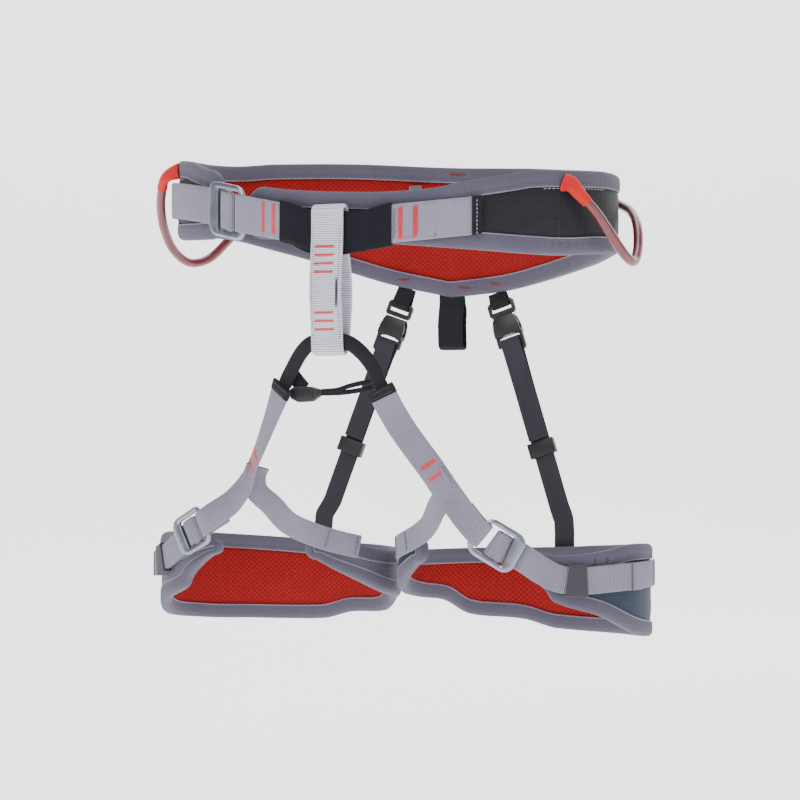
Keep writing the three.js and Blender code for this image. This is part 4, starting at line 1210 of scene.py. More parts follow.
class HARNESS_OT_stage(HarnessOperator, bpy.types.Operator):
    """Makes the floor and backdrop, the lights and the camera"""
    bl_idname = "harness.stage"
    bl_label = "Stage"

    def make(self, context):
        scene = context.scene
        turn = Matrix.Rotation(math.radians(CAMERA_TURN), 3, "Z")
        across, away = turn @ Vector((1, 0, 0)), turn @ Vector((0, 1, 0))

        data = bpy.data.cameras.new("camera")
        data.sensor_width = 36
        data.lens = CAMERA_LENS
        data.clip_end = 20
        camera = bpy.data.objects.new("camera", data)
        camera.location = across * 0.004 - away * CAMERA_AWAY + Vector((0, 0, -0.122))
        camera.rotation_euler = (math.radians(90), 0, math.radians(CAMERA_TURN))
        scene.collection.objects.link(camera)
        scene.camera = camera

        profile = [(-4, -0.42),
                   *[(1.6 + 0.9 * math.sin(a), 0.48 - 0.9 * math.cos(a)) for a in steps(0, 1.571, 10)],
                   (2.5, 4)]

        def place(s, t):
            i = min(int(t * (len(profile) - 1) + 0.001), len(profile) - 2)
            y, z = Vector(profile[i]).lerp(Vector(profile[i + 1]), t * (len(profile) - 1) - i)
            return (across * (s - 0.5) * 9 + away * y + Vector((0, 0, z))) / MM
        bm = mapped_grid(8, len(profile) - 1, place, lambda s, t: (s, t))
        material, tree, shader = new_material("Studio paper", Roughness=0.9, Specular_IOR_Level=0.1,
                                              Emission_Strength=1.5)
        coords = tree.node("ShaderNodeTexCoord").outputs
        speck = tree.node("ShaderNodeTexNoise", {"Vector": coords["Object"], "Scale": 3.0})
        paper = tree.mix(speck.outputs["Fac"], (0.90, 0.90, 0.905, 1), (0.93, 0.93, 0.93, 1))
        tree.put(shader.inputs["Base Color"], paper)
        tree.put(shader.inputs["Emission Color"], paper)
        piece("backdrop", bm, material, smooth_angle=180)

        world = bpy.data.worlds.new("Studio")
        world.use_nodes = True
        world.node_tree.nodes["Background"].inputs["Color"].default_value = (0.97, 0.98, 1, 1)
        world.node_tree.nodes["Background"].inputs["Strength"].default_value = 0.6
        scene.world = world
        for name, place_at, power, size in (
                ("key", -0.9 * across - 1.3 * away + Vector((0, 0, 1.1)), 19, 0.9),
                ("fill", 1.3 * across - 1.2 * away + Vector((0, 0, 0.3)), 7, 1.1),
                ("top", 0.1 * across + 0.2 * away + Vector((0, 0, 1.5)), 13, 1.0),
                ("back", 0.6 * across + 1.5 * away + Vector((0, 0, 0.9)), 7, 1.0)):
            light = bpy.data.lights.new(name, "AREA")
            light.energy, light.size = power, size
            lamp = bpy.data.objects.new(name, light)
            lamp.location = place_at
            lamp.rotation_euler = (Vector((0, 0, -0.1)) - place_at).to_track_quat("-Z", "Y").to_euler()
            scene.collection.objects.link(lamp)


class HARNESS_OT_belt_pad(HarnessOperator, bpy.types.Operator):
    """Makes the belt's pad: its shell and lining, its binding and its sewn details"""
    bl_idname = "harness.belt_pad"
    bl_label = "Belt pad"

    def make(self, context):
        shell = shell_cloth("Belt ripstop", colours().black_shell)
        make_cover("waist", WAIST, WAIST_EDGES, WAIST_PAD, "waist_belt", shell, 0.7, 1.6)
        make_binding("waist", WAIST, WAIST_EDGES, WAIST_PAD, "waist_belt", 480)
        face = WAIST_PAD["half"]

        def outside(angle, z):
            return WAIST.place(angle, face + 0.35, z), WAIST.normal(angle)

        def inside(angle, z):
            return WAIST.place(angle, -BELT_FACE - 0.2, z), -WAIST.normal(angle)
        for side in (1, -1):
            hand = "left" if side > 0 else "right"
            seam = [outside(side * 61.5, z) for z in steps(WAIST_EDGES.bottom(side * 61.5) + 10,
                                                           WAIST_EDGES.top(side * 61.5) - 10, 30)]
            edge = [outside(side * a, WAIST_EDGES.top(side * a) - 12.4) for a in steps(57, 82, 40)]
            spots = row_spots(seam, 2.4, 1.7)
            attach(sewn(f"belt_shell_seam_{hand}", spots, 0.2, dark_thread()), "waist_belt", "black_shell")
            attach(sewn(f"belt_pale_seam_{hand}", row_spots(edge, 3.2, 2.3), 0.18, pale_thread()),
                   "waist_belt", "grey_webbing")
        zigzags = []
        for angle in (59, 62, 65, 68, 71, 74, -59, -62, -65, -68, -71, -74):
            zigzags += tack_spots(lambda u, v: (WAIST.place(u, BELT_FACE + 0.15, v), WAIST.normal(u)),
                                  (angle, WAIST_EDGES.bottom(angle) + 6), (1.6, 4), pitch=1.0)
        attach(sewn("belt_edge_tacks", zigzags, 0.22, dark_thread()), "waist_belt", "binding_fabric")
        marks = []
        for angle, z, tall in ((-166.5, 6, 1.6), (176, 6, 1.6), (166, 6, 1.6), (-150, 6, 1.6)):
            low = WAIST_EDGES.bottom(angle if angle > 0 else angle + 360)
            marks += tack_spots(inside, (angle % 360, low + z), (4.6, tall), pitch=0.5)
        top = WAIST_EDGES.top(178)
        marks += tack_spots(inside, (178, top - 5), (5.6, 1.8), pitch=0.5)
        attach(sewn("belt_lining_tacks", marks, 0.24, thread("Dark red thread", (0.42, 0.07, 0.08))),
               "waist_belt", "mesh_lining")


class HARNESS_OT_leg_pads(HarnessOperator, bpy.types.Operator):
    """Makes the leg loops' pads, with their binding and printed bars"""
    bl_idname = "harness.leg_pads"
    bl_label = "Leg pads"

    def make(self, context):
        for hand in SIDES:
            rgb = colours().blue_shell if hand == "left" else colours().grey_shell
            shell = shell_cloth(f"Leg ripstop {hand}", rgb, 4.0)
            body = f"leg_{hand}"
            make_cover(body, LEGS[hand], LEG_EDGES, LEG_PAD, body, shell, 0.5, 1.5)
            make_binding(body, LEGS[hand], LEG_EDGES, LEG_PAD, body, 330)
            wall = LEGS[hand]
            bars = []
            for angle in (50.5, 57, 63.5):
                bars += tack_spots(lambda u, v: (wall.place(u, LEG_FACE + 0.12, v), wall.normal(u)),
                                   (angle, LEG_EDGES.top(angle) - 5.6), (2.2, 4.2), pitch=0.42)
            attach(sewn(f"leg_{hand}_bars", bars, 0.22, dark_thread()), body, "binding_fabric")


class HARNESS_OT_tie_in(HarnessOperator, bpy.types.Operator):
    """Makes the front webbing, its sleeve, its bar tacks and the tab over its end"""
    bl_idname = "harness.tie_in"
    bl_label = "Front webbing"

    def make(self, context):
        webbing = make_strap("waist_front_webbing", WAIST_RUN, tie_in_rows(), WAIST_WEB, belt_tape(),
                             tie_in_width)
        blended(webbing, FRONT, 2, -26, "grey_webbing", "tie_in_webbing")

        def face(angle, across):
            along = along_exact(angle)
            out = 0.6 + WAIST_WEB[1] + front_lift(angle) + 0.16
            point = WAIST_RUN.at(along, out, across)
            return point, WAIST.normal(angle)
        red = []
        for angle, across in ((-16, 0.6), (-12.9, 0.6), (19, 0.2), (22.5, 0.3)):
            red += tack_spots(face, (angle, across), (1.45, 0.8 * WAIST_WEB[0]), pitch=0.6)
        red += row_spots([face(a, -10.4) for a in steps(19, 22.5, 6)], 1.6, 1.4)
        blended(sewn("front_bar_tacks", red, 0.28, red_thread()), FRONT, 2, -26, "red_cover")
        rows = []
        for across in (-10.9, 10.9):
            for low, high in ((-19, -11.5), (24.5, 37)):
                rows += row_spots([face(a, across) for a in steps(low, high, 30)], 2.3, 1.3)
        blended(sewn("front_edge_stitches", rows, 0.2, grey_thread()), FRONT, 2, -26, "grey_webbing")
        column = tack_spots(face, (17.6, 0.2), (0.6, 19), pitch=1.5) + tack_spots(face, (27.2, -10),
                                                                                  (0.5, 3))
        blended(sewn("front_stitch_column", column, 0.22, dark_thread()), FRONT, 2, -26, "grey_webbing")

        end = along_waist(TIE_IN["left"])
        level = 0.6 + WAIST_WEB[1] + 0.8
        rows = [(end - 4.5, level), (end + 1.6, level)]
        tab = make_strap("waist_label_fold", WAIST_RUN, rows, (25.4, 0.8),
                         black_tape("Tab webbing", 0.8, 0.3))
        attach(tab, "waist_belt", "black_webbing", "waist_label_tab")
        at = on_run(WAIST_RUN, level + 0.5)
        dashes = row_spots([at(end - 1.4, v) for v in steps(-11.5, 11.5, 20)], 2.6, 1.7)
        attach(sewn("waist_label_stitches", dashes, 0.2, pale_thread()), "waist_belt", "black_webbing")
        self.make_sleeve()

    def make_sleeve(self):
        top, bottom = smooth(SLEEVE_TOP), smooth(SLEEVE_BOTTOM)
        columns, girth = 64, 40
        level = 0.6 + TIE_IN["lift"] + WAIST_WEB[1] / 2

        def place(s, t):
            k = round(t * 2 * columns) % (2 * columns)
            outer = k <= columns
            share = k / columns if outer else 2 - k / columns
            angle = SLEEVE["from"] + (SLEEVE["to"] - SLEEVE["from"]) * share
            turn = math.tau * (round(s * girth) % girth) / girth
            centre = web_height(angle)
            widest = tie_in_width(along_exact(angle)) / 2 + 1.4
            up, down = max(top(angle) - centre, widest), min(bottom(angle) - centre, -widest)
            hem = 0 < k < columns
            less = 0 if hem else (0.35 if k in (0, columns) else 0.8)
            c, s1 = math.cos(turn), math.sin(turn)
            across = (up + down) / 2 + ((up - down) / 2 - less) * math.copysign(abs(c) ** 0.55, c)
            thick = 2.25 - 1.1 * ramp(-across, widest, widest + 7)
            out = (thick - less) * math.copysign(abs(s1) ** 0.6, s1)
            wave = noise.noise(Vector((angle * 0.22, across * 0.14, 3 * s1)))
            pull = 0.7 * ramp(-across, 4, 16)
            out += wave * (0.35 + pull) + 0.35 * math.sin(angle * 1.3 + across * 0.25) * pull
            return WAIST.place(angle, BELT_FACE + level + out, centre + across)

        def uv(s, t):
            return 92 * s, 76 * 2 * min(t, 1 - t)
        material = cloth("Sleeve twill", colours().black_shell, tape_weave(),
                         {"Rib": 0.9, "Yarn": 0.5, "Ribbed": 0.75},
                         bright=1.5, dark=0.6, strength=0.35, depth=0.15, sheen=0.04)
        bm = close_up(mapped_grid(girth, 2 * columns, place, uv))
        sleeve = piece("waist_sleeve", bm, material, smooth_angle=60)
        blended(sleeve, FRONT, 2, -26, "black_shell", "tie_in_sleeve")


def along_exact(angle):
    """Distance along the waist run at an angle, between its places."""
    lengths = WAIST_RUN.lengths
    x = (angle + 128) / 2
    i = min(max(int(x), 0), len(lengths) - 2)
    return lengths[i] + (lengths[i + 1] - lengths[i]) * (x - i)


class HARNESS_OT_straps(HarnessOperator, bpy.types.Operator):
    """Makes the adjusting straps, their keepers, the leg loops' front straps and inner branches"""
    bl_idname = "harness.straps"
    bl_label = "Straps"

    def make(self, context):
        rows = buckle_rows(along_waist(WAIST_BUCKLE["angle"]), WAIST_BUCKLE,
                           along_waist(WAIST_STRAP["anchor"]),
                           along_waist(WAIST_STRAP["tail"]), WAIST_WEB)
        strap = make_strap("waist_adjust_strap", WAIST_RUN, rows, WAIST_WEB, grey_tape())
        attach(strap, "waist_belt", "grey_webbing", "waist_strap")
        make_keeper("waist_keeper", WAIST_RUN, along_waist(WAIST_STRAP["keeper"]), 14, WAIST_WEB,
                    keeper_tape(),
                    "waist_belt", "grey_elastic", "waist_strap_keeper")
        tail = along_waist(WAIST_STRAP["tail"])
        self.sew_end("waist_tail_stitches", WAIST_RUN, tail + 3, 4.9, WAIST_WEB[0], "waist_belt")
        anchor = along_waist(WAIST_STRAP["anchor"])
        self.sew_end("waist_anchor_tacks", WAIST_RUN, anchor + 4, 2.4, WAIST_WEB[0], "waist_belt")
        for hand, side in SIDES.items():
            self.make_leg(hand, side)

    def sew_end(self, name, run, along, out, width, body):
        """Two bar tacks across a strap's end."""
        spots = []
        for shift in (0, 5):
            spots += tack_spots(on_run(run, out), (along + shift, 0), (2.6, 0.8 * width))
        attach(sewn(name, spots, 0.24, grey_thread()), body, "grey_webbing")

    def make_leg(self, hand, side):
        body = f"leg_{hand}"
        rows, wall, run = LEG_STRAPS[hand], LEGS[hand], leg_run(hand)
        height = smooth(rows["round"])

        def along(angle):
            return run.nearest(wall.place(angle, LEG_FACE, height(angle)))
        centre = along(rows["buckle"])
        path = buckle_rows(centre, LEG_BUCKLE, along(rows["anchor"]), along(rows["tail"]), LEG_WEB)
        strap = make_strap(f"leg_{hand}_strap", run, path, LEG_WEB, grey_tape())
        attach(strap, body, "grey_webbing", f"leg_{hand}_adjust_strap")
        make_keeper(f"leg_{hand}_band", run, along(rows["keeper"]), 13, LEG_WEB, keeper_tape(), body,
                    "grey_elastic",
                    f"leg_{hand}_keeper")
        tail = along(rows["tail"])
        hem = [(tail - 9, 4.85), (tail - 0.6, 4.85), (tail + 0.5, 4.4)]
        hem = make_strap(f"leg_{hand}_strap_hem", run, hem, (LEG_WEB[0], 1.3), grey_tape())
        attach(hem, body, "grey_webbing")
        hem_spots = tack_spots(on_run(run, 5.65), (tail - 7.5, 0), (1.2, 0.8 * LEG_WEB[0]), pitch=1.2)
        attach(sewn(f"leg_{hand}_hem_stitches", hem_spots, 0.2, grey_thread()), body, "grey_webbing")
        self.sew_end(f"leg_{hand}_anchor_tacks", run, along(rows["anchor"]) - 9, 2.25, LEG_WEB[0], body)

        buckle = LEG_BUCKLE
        half = LEG_WEB[1] / 2
        bar = centre - buckle["half"] + buckle["bar"]
        over, under = buckle["level"] + buckle["deep"] + 0.45 + half, buckle["level"] - 0.45 - half
        turn = arc(bar - 0.8, (over + under) / 2, (over - under) / 2, 90, -90, 8)
        front = [(2, 2.5), (bar - 30, 3.2), (bar - 12, over - 0.4), (bar - 6, over), *turn,
                 (bar - 8, under + 0.2),
                 (bar - 20, 0.9)]
        strap = make_strap(f"leg_{hand}_front_webbing", run, front, LEG_WEB, grey_tape())
        attach(strap, body, "grey_webbing", f"leg_{hand}_front_strap")
        fold, broad = [], LEG_WEB[0] / 2 + 0.4
        for a in steps(math.tau, 0, 28)[:-1]:
            u, v = math.cos(a), math.sin(a)
            fold.append((broad * math.copysign(abs(u) ** 0.35, u), 1.6 * math.copysign(abs(v) ** 0.6, v)))
        folded = make_strap(f"leg_{hand}_bridge_fold", run, [(0.1, 2.5), (6.8, 2.55)], LEG_WEB,
                            black_tape(), ring=fold)
        attach(folded, body, "black_webbing")
        stitches = [spot for u in (1.8, 5.2)
                    for spot in tack_spots(on_run(run, 4.2), (u, 0), (0.8, 13), pitch=1.2)]
        attach(sewn(f"leg_{hand}_fold_stitches", stitches, 0.2, dark_thread()), body, "black_webbing")
        at = on_run(run, 3.0 + half + 0.1)
        red = tack_spots(at, (60, 0), (4.2, 11), pitch=0.55) + tack_spots(at, (69, 0), (4.2, 11),
                                                                          pitch=0.55)
        attach(sewn(f"leg_{hand}_front_tacks", red, 0.26, red_thread()), body, "red_cover")
        at = on_run(run, over + half + 0.12)
        dots = [spot for v in (-6, -2, 2, 6)
                for spot in row_spots([at(u, v) for u in steps(bar - 13, bar - 4, 8)], 2.4, 0.9)]
        attach(sewn(f"leg_{hand}_front_dots", dots, 0.2, dark_thread()), body, "grey_webbing")

        sewn_on = [(322, -214), (314, -218), (306, -221), (298, -223.5)]
        points = [Vector((side * 70.5, -75.2, -180)), Vector((side * 61, -68.5, -194)),
                  Vector((side * 52, -61.5, -206))]
        joint = {"left": [(66.5, -83.3, -168), (70.5, -80.4, -175.5), (69.5, -75.6, -184)],
                 "right": [(-64.6, -82.3, -167), (-69, -79.2, -175), (-69.2, -75, -184)]}
        points[:1] = [Vector(p) for p in joint[hand]]
        points += [wall.place(angle, LEG_FACE + 1.4, z) for angle, z in sewn_on]
        line = spline(points, 1.0)
        upper, lower = Vector((side * 0.75, 0.1, -0.65)), Vector((0, 0, -1))
        across = [upper.lerp(lower, min(i / (0.66 * len(line)), 1)) for i in range(len(line))]
        stations = stations_on(line, across)
        branch = piece(f"leg_{hand}_branch_webbing", sweep(stations, tape_ring(16, LEG_WEB[1], crown=0.1)),
                       grey_tape())
        attach(branch, body, "grey_webbing", f"leg_{hand}_inner_branch")

        def at_branch(u, v):
            station = stations[min(max(round(u), 0), len(stations) - 1)]
            out = station.out if station.out.y < 0 else -station.out
            return station.centre + station.wide * v + out * (0.95 + LEG_WEB[1] / 2 - 0.6), out
        count = len(stations)
        spots = tack_spots(at_branch, (count - 26, 0), (1.6, 13), pitch=1.1)
        spots += tack_spots(at_branch, (count - 4, 0), (1.6, 13), pitch=1.1)
        attach(sewn(f"leg_{hand}_branch_stitches", spots, 0.22, dark_thread()), body, "grey_webbing")


class HARNESS_OT_buckles(HarnessOperator, bpy.types.Operator):
    """Makes the three buckles' frames and lock bars"""
    bl_idname = "harness.buckles"
    bl_label = "Buckles"

    def make(self, context):
        centre = along_waist(WAIST_BUCKLE["angle"])
        make_buckle("waist_buckle", WAIST_RUN, centre, WAIST_BUCKLE, "waist_belt", "waist_buckle_frame")
        bar = piece("waist_buckle_bar", from_node("waist_buckle_lock_bar", 0.3), buckle_metal(),
                    smooth_angle=50)
        attach(bar, "waist_lock", "aluminium", "waist_buckle_lock_bar")
        for hand in SIDES:
            run, wall, rows = leg_run(hand), LEGS[hand], LEG_STRAPS[hand]
            spot = wall.place(rows["buckle"], LEG_FACE, smooth(rows["round"])(rows["buckle"]))
            make_buckle(f"leg_{hand}_buckle", run, run.nearest(spot), LEG_BUCKLE, f"leg_{hand}",
                        f"leg_{hand}_buckle_frame")
            bar = from_node(f"leg_{hand}_buckle_lock_bar", 0.3)
            bar = piece(f"leg_{hand}_buckle_bar", bar, buckle_metal(), smooth_angle=50)
            attach(bar, f"leg_{hand}_lock", "aluminium", f"leg_{hand}_buckle_lock_bar")


class HARNESS_OT_belay_loop(HarnessOperator, bpy.types.Operator):
    """Makes the belay loop, with its ribs, seams and bar tacks"""
    bl_idname = "harness.belay_loop"
    bl_label = "Belay loop"

    def make(self, context):
        line = [*arc(-115.1, 0.8, 4, 180, 0, 8), (-111.1, -10), (-110.9, -22), (-107.5, -34), (-105.2, -48),
                (-105.4, -62), (-107.6, -75), (-110.3, -84), (-111.2, -87.8), (-112.8, -90.8),
                (-115.4, -92),
                (-117.9, -90.5), (BELAY_FRONT, -87), (BELAY_FRONT, -78), (BELAY_FRONT, -30),
                (BELAY_FRONT, -12)]
        line = spline([(BELAY["x"], y, z) for y, z in line + line[:1]], 0.3, longest=8)[:-1]
        lean = [Vector((1.4 * math.sin(math.pi * ramp(-p.z, 10, 90)) * (p.y < -115), 0, 0)) for p in line]
        stations = stations_on([p - shift for p, shift in zip(line, lean)], Vector((1, 0, 0)), closed=True)
        pitch = sizes().rib / MM
        whole = stations[-1].along
        pitch = whole / round(whole / pitch)
        ring = tape_ring(BELAY["width"], BELAY["thick"] - 0.25, 14, crown=0.1)
        rings = [ribbed(ring, station.along, pitch, 0.13) for station in stations]
        loop = piece("belay_webbing", sweep(stations, rings, closed=True), belay_tape(), smooth_angle=70)
        attach(loop, "belay_loop", "pale_webbing", "belay_loop")

        def front(across, z):
            bend = 1.4 * math.sin(math.pi * ramp(-z, 10, 90))
            return Vector((BELAY["x"] + across - bend, BELAY_FRONT - 1.28, z)), Vector((0, -1, 0))
        seams = []
        for across in (-9.6, 9.6):
            seams += row_spots([front(across, z) for z in steps(-9, -83, 60)], 2.2, 1.5)
        attach(sewn("belay_loop_seams", seams, 0.2, grey_thread()), "belay_loop", "pale_webbing")
        tacks = []
        for z in (-22, -27.5, -33, -38.5, -65, -70.5, -76):
            tacks += tack_spots(lambda u, v: front(v, u), (z, -1.2), (2.2, 14), pitch=0.6)
        attach(sewn("belay_loop_tacks", tacks, 0.24, red_thread()), "belay_loop", "red_cover")
        dark = tack_spots(lambda u, v: front(v, u), (-52, 8.2), (21, 1.6), pitch=0.55)
        attach(sewn("belay_loop_mark", dark, 0.2, dark_thread()), "belay_loop", "pale_webbing")


class HARNESS_OT_bridge(HarnessOperator, bpy.types.Operator):
    """Makes the bridge under the belay loop, with its elastic, hook and tab"""
    bl_idname = "harness.bridge"
    bl_label = "Bridge"

    def make(self, context):
        knots = [(-32.6, -106.4, -114), (-30, -107, -108.5), (-24, -109.5, -100), (-16, -113.2, -90.5),
                 (-7.5, -115.2, -84.6),
                 (5.5, -115.2, -83.2), (18.5, -115.2, -84.6), (26, -113.2, -90), (33, -109.5, -99.5),
                 (37, -107, -110), (39.6, -106.2, -115.5)]
        line = spline(knots, 0.8)
        stations = stations_on(line, Vector((0, 1, 0)))
        base = [(2.3 * math.cos(a), 5.0 * math.copysign(abs(math.sin(a)) ** 0.75, math.sin(a)))
                for a in steps(math.tau, 0, 24)[:-1]]
        rings = []
        for i, station in enumerate(stations):
            wave = noise.noise(station.centre * 0.12) * 0.3
            end = min(i, len(stations) - 1 - i)
            slim = 0.8 + 0.2 * ramp(end, 0, 4)
            rings.append([(u * slim + wave, v * slim) for u, v in base])
        tube = piece("bridge_webbing", sweep(stations, rings), black_tape("Bridge webbing", 1.0, 0.6))
        blended(tube, FRONT, -109, -88, "black_webbing", "bridge")

        lower = [(-6, -104.6, -117.6), (8, -103.6, -117.2), (22, -102.8, -115.4), (33.5, -102.6, -112.6)]
        upper = [(-6, -105.0, -116.4), (6, -104.2, -115.3), (14, -103.6, -112.8), (24, -103.0, -110.6),
                 (31, -102.8, -109.4)]
        for name, points, nodes in (("lower", lower, ("bridge_elastic",)), ("upper", upper, ())):
            stations = stations_on(spline(points, 0.8), Vector((0, 0.25, 1)))
            strand = sweep(stations, tape_ring(3.4, 1.4, 4, crown=0.1))
            strand = piece(f"bridge_elastic_{name}", strand, black_tape("Thin elastic", 0.7, 0.5))
            attach(strand, "waist_belt", "black_webbing", *nodes)
        hook = piece("bridge_hook_moulded", from_node("bridge_hook", 0.5, 3), clip_plastic())
        attach(hook, "waist_belt", "black_plastic", "bridge_hook")
        ribs = []
        for x in steps(-26, -12, 6):
            ribs.append((Vector((x, -106.85, -114.6)), Vector((x + 0.4, -106.85, -121)),
                         Vector((0, -1, 0))))
        attach(sewn("bridge_hook_ribs", ribs, 0.5, clip_plastic()), "waist_belt", "black_plastic")
        points = [(-28, -103.4, -104.5), (-24, -103.8, -109), (-18.5, -104.6, -114.6)]
        stations = stations_on(spline(points, 0.8), Vector((1, 0, 0.6)))
        tab = piece("bridge_tab_webbing", sweep(stations, tape_ring(10, 1.4, crown=0.1)), black_tape())
        attach(tab, "waist_belt", "black_webbing", "bridge_tab")


class HARNESS_OT_haul_loop(HarnessOperator, bpy.types.Operator):
    """Makes the ribbed loop under the belt's rear edge"""
    bl_idname = "harness.haul_loop"
    bl_label = "Haul loop"

    def make(self, context):
        y = HAUL["y"]
        back = [(y + 0.9, -42), (y + 1.4, -49.2), (y + 3.4, -56), (y + 3.9, -66), (y + 3.9, -79)]
        front = [(2 * y - v, z) for v, z in reversed(back)]
        turn = arc(y, -80.2, 3.9, 0, -180, 8)
        line = spline([(0.4 * math.sin(z * 0.2), v, z) for v, z in back + turn + front], 0.22, longest=6)
        stations = stations_on(line, Vector((1, 0.02, 0)))
        ring = tape_ring(HAUL["width"], HAUL["thick"] - 0.2, 10, crown=0.1)
        rings = [ribbed(ring, station.along, 1.12, 0.14) for station in stations]
        loop = piece("haul_webbing", sweep(stations, rings), black_tape("Haul webbing", 1.12, 0.8),
                     smooth_angle=70)
        blended(loop, ("waist_belt", "haul_loop"), -46, -54, "black_webbing", "haul_loop")


class HARNESS_OT_gear_loops(HarnessOperator, bpy.types.Operator):
    """Makes the coated gear loops and their covers"""
    bl_idname = "harness.gear_loops"
    bl_label = "Gear loops"

    def make(self, context):
        tube_material = hard("Maroon coated tube", colours().tube, 0.32, grain=0.1, Coat_Weight=0.6,
                             Coat_Roughness=0.2)
        cover_cloth = cloth("Red cover cloth", colours().cover, tape_weave(),
                            {"Rib": 0.7, "Yarn": 0.7, "Ribbed": 0.3},
                            bright=1.2, dark=0.7, strength=0.3, depth=0.12, rough=0.65)
        for hand, side in SIDES.items():
            rows = GEAR_ROWS[hand]
            rows = [(rows[0][0] - 1.3, 4.8, rows[0][2] + 1.5), *rows, (rows[-1][0] + 1, 5, rows[-1][2] + 2)]
            points = [WAIST.place(side * angle, out, z) for angle, out, z in rows]
            line = spline(points, 1.0)
            normals = [WAIST.normal(math.degrees(math.atan2(p.x / WAIST.a, -p.y / WAIST.b))) for p in line]
            stations = stations_on(line, normals)
            split = round(0.115 * len(stations))
            tube = sweep(stations[split - 3:], round_ring(GEAR_RADIUS, 18))
            tube = piece(f"gear_{hand}_tube", tube, tube_material)
            attach(tube, f"gear_loop_{hand}", "maroon_tube", f"gear_loop_{hand}_tube")
            cover = stations[:split + 1]
            rings = []
            for i in range(len(cover)):
                share = i / (len(cover) - 1)
                wide = 1.75 - 0.75 * share
                flat = 0.72 + 0.28 * share
                wave = 0.12 * math.sin(i * 1.9)
                rings.append([(u * flat, v * wide + wave) for u, v in round_ring(GEAR_RADIUS + 0.35, 20)])
            cover = piece(f"gear_{hand}_cover", sweep(cover, rings), cover_cloth)
            attach(cover, f"gear_loop_{hand}", "red_cover", f"gear_loop_{hand}_cover")


class HARNESS_OT_risers(HarnessOperator, bpy.types.Operator):
    """Makes the rear risers: belt tabs, side-release clips, elastics and sliders"""
    bl_idname = "harness.risers"
    bl_label = "Risers"

    def make(self, context):
        for hand, side in SIDES.items():
            self.make_riser(hand, side)

    def make_riser(self, hand, side):
        top = Vector((side * RISER_TOP[0], *RISER_TOP[1:]))
        foot = Vector((side * RISER_FOOT[0], *RISER_FOOT[1:]))
        up = (top - foot).normalized()
        across = (Vector((1, 0, 0)) - up * up.x).normalized()
        through = across.cross(up)

        def local(x, y, z):
            return top + across * x + up * y + through * z
        angle = side * 165 if side > 0 else 195
        reach_up = (WAIST_EDGES.bottom(angle) - 4.9 - top.z) / up.z + 4
        line = [(reach_up, -0.9), *arc(4.6, 0, 3.2, -60, -180, 5), *arc(4.6, 0, 3.2, 180, 60, 5)[1:],
                (reach_up, 0.9)]
        stations = stations_on(spline([local(0, y, z) for y, z in line], 0.6), across)
        tab = piece(f"riser_{hand}_belt_tab", sweep(stations, tape_ring(14, 1.3, crown=0.08)), black_tape())
        attach(tab, "waist_belt", "black_webbing", f"riser_{hand}_tab")

        parts = {"plug": "waist_belt", "socket": "waist_belt", "slider": f"riser_{hand}_slider",
                 "prong_outer": f"riser_{hand}_prong_outer", "prong_inner": f"riser_{hand}_prong_inner"}
        for part, body in parts.items():
            node = f"riser_{hand}_{part}"
            made = piece(f"{node}_moulded", from_node(node, 0.3), clip_plastic())
            attach(made, body, "black_plastic", node)

        t = ELASTIC[1] / 2
        reach = (top - foot).length
        bar, turn = -26.55, 2.75 + t
        line = [(-101, 1.35 + t), (-60, 1.4 + t), (-36, 2.1 + t), (-30, turn - 0.2),
                *arc(bar, 0, turn, 90, -90, 8),
                (-30, -turn + 0.2), (-36, -1.6 - t), (-60, -0.4 - t), (-120, -0.4 - t),
                (-reach + 18, -0.4 - t)]
        points = [local(0, y, z) for y, z in line]
        points += [Vector((side * x, y, z)) for x, y,
                   z in ((95.2, 84.6, -208), (96, 84.1, -217), (96, 83.9, -224),
                                                            (96, 83.9, -238))]
        line = spline(points, 1.0, longest=8)
        level = [across.lerp(Vector((1, 0, 0)), ramp(-p.z, 196, 222)) for p in line]
        stations = stations_on(line, level)
        strip = sweep(stations, tape_ring(*ELASTIC, crown=0.06))
        elastic = piece(f"riser_{hand}_elastic_strip", strip, elastic_tape())
        blended(elastic, ("waist_belt", f"leg_{hand}"), -170, -215, "charcoal_elastic",
                f"riser_{hand}_elastic")
        spots = []
        for z in (-221, -228, -235):
            spots += tack_spots(lambda u, v: (Vector((side * 96 + v, 84.75, u)), Vector((0, 1, 0))), (z, 0),
                                (1.8, 11))
        attach(sewn(f"riser_{hand}_foot_tacks", spots, 0.22, dark_thread()), f"leg_{hand}",
               "charcoal_elastic")


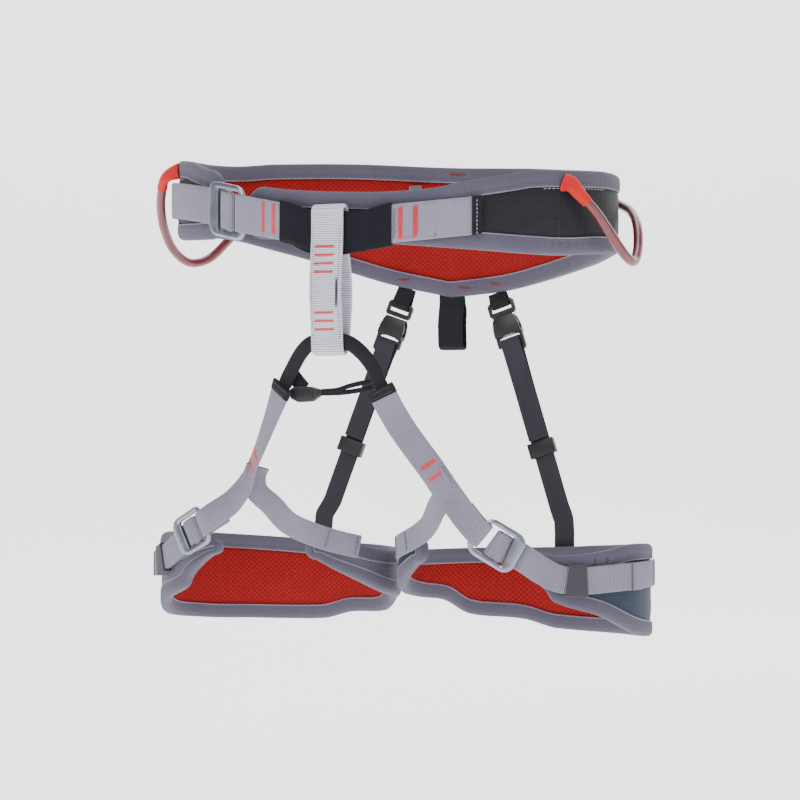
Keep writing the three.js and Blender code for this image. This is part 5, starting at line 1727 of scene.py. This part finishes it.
class HARNESS_OT_labels(HarnessOperator, bpy.types.Operator):
    """Makes the blank labels sewn to the linings"""
    bl_idname = "harness.labels"
    bl_label = "Blank labels"

    def make(self, context):
        self.make_label("waist", WAIST, 190, 33, 10, 9, WAIST_PAD["half"], "waist_belt", "waist_size_label",
                        0.5)
        self.make_label("leg_right", LEGS["right"], 196, -240, 8.5, 11, LEG_FACE, "leg_right",
                        "leg_right_size_label", 0.4)

    def make_label(self, prefix, wall, angle, z, width, height, face, body, node, lift):
        def place(s, t):
            at = angle + (s - 0.5) * width / wall.per_degree(angle)
            layer = round(t * 14)
            share = layer / 6 if layer <= 6 else 1 - (layer - 7) / 7 * 1.0 if layer < 14 else 0
            out = 1.15 if layer <= 6 else 0.6
            bow = 0.25 * math.sin(math.pi * s) * (layer <= 6)
            return wall.place(at, -face - lift - out - bow, z + (share - 0.5) * height)
        material = cloth("Woven label", colours().label, tape_weave(),
                         {"Rib": 0.5, "Yarn": 0.5, "Ribbed": 0.3},
                         bright=1.1, dark=0.8, strength=0.2, depth=0.08)
        bm = close_up(mapped_grid(10, 14, place, lambda s, t: (width * s, height * 2 * t)))
        attach(piece(f"{prefix}_blank_label", bm, material), body, "label_fabric", node)

        def at_edge(s, t):
            at = angle + (s - 0.5) * width / wall.per_degree(angle)
            return wall.place(at, -face - lift - 1.45, z + (t - 0.5) * height), -wall.normal(angle)
        spots = row_spots([at_edge(0.06, t) for t in steps(0.06, 0.94, 8)], 1.7, 1.1)
        spots += row_spots([at_edge(0.94, t) for t in steps(0.06, 0.94, 8)], 1.7, 1.1)
        attach(sewn(f"{prefix}_label_stitches", spots, 0.14, pale_thread()), body, "label_fabric")


OPERATORS = (HARNESS_OT_stage, HARNESS_OT_belt_pad, HARNESS_OT_leg_pads, HARNESS_OT_tie_in,
             HARNESS_OT_straps,
             HARNESS_OT_buckles, HARNESS_OT_belay_loop, HARNESS_OT_bridge, HARNESS_OT_haul_loop,
             HARNESS_OT_gear_loops, HARNESS_OT_risers, HARNESS_OT_labels)


class HARNESS_PT_panel(bpy.types.Panel):
    """The harness's settings and its pieces"""
    bl_idname = "HARNESS_PT_panel"
    bl_label = "Climbing Sit Harness"
    bl_space_type = "VIEW_3D"
    bl_region_type = "UI"
    bl_category = "Harness"

    def draw(self, context):
        for settings in (context.scene.harness_sizes, context.scene.harness_colours):
            box = self.layout.box()
            for key in settings.bl_rna.properties.keys():
                if key not in ("rna_type", "name"):
                    box.prop(settings, key)
        for operator in OPERATORS:
            self.layout.operator(operator.bl_idname)


CLASSES = (HarnessColours, HarnessSizes, *OPERATORS, HARNESS_PT_panel)


def register():
    for cls in CLASSES:
        bpy.utils.register_class(cls)
    bpy.types.Scene.harness_colours = PointerProperty(type=HarnessColours)
    bpy.types.Scene.harness_sizes = PointerProperty(type=HarnessSizes)


def unregister():
    del bpy.types.Scene.harness_colours, bpy.types.Scene.harness_sizes
    for cls in reversed(CLASSES):
        bpy.utils.unregister_class(cls)


def main():
    register()
    for operator in OPERATORS:
        group, name = operator.bl_idname.split(".")
        getattr(getattr(bpy.ops, group), name)()


if __name__ == "__main__":
    main()
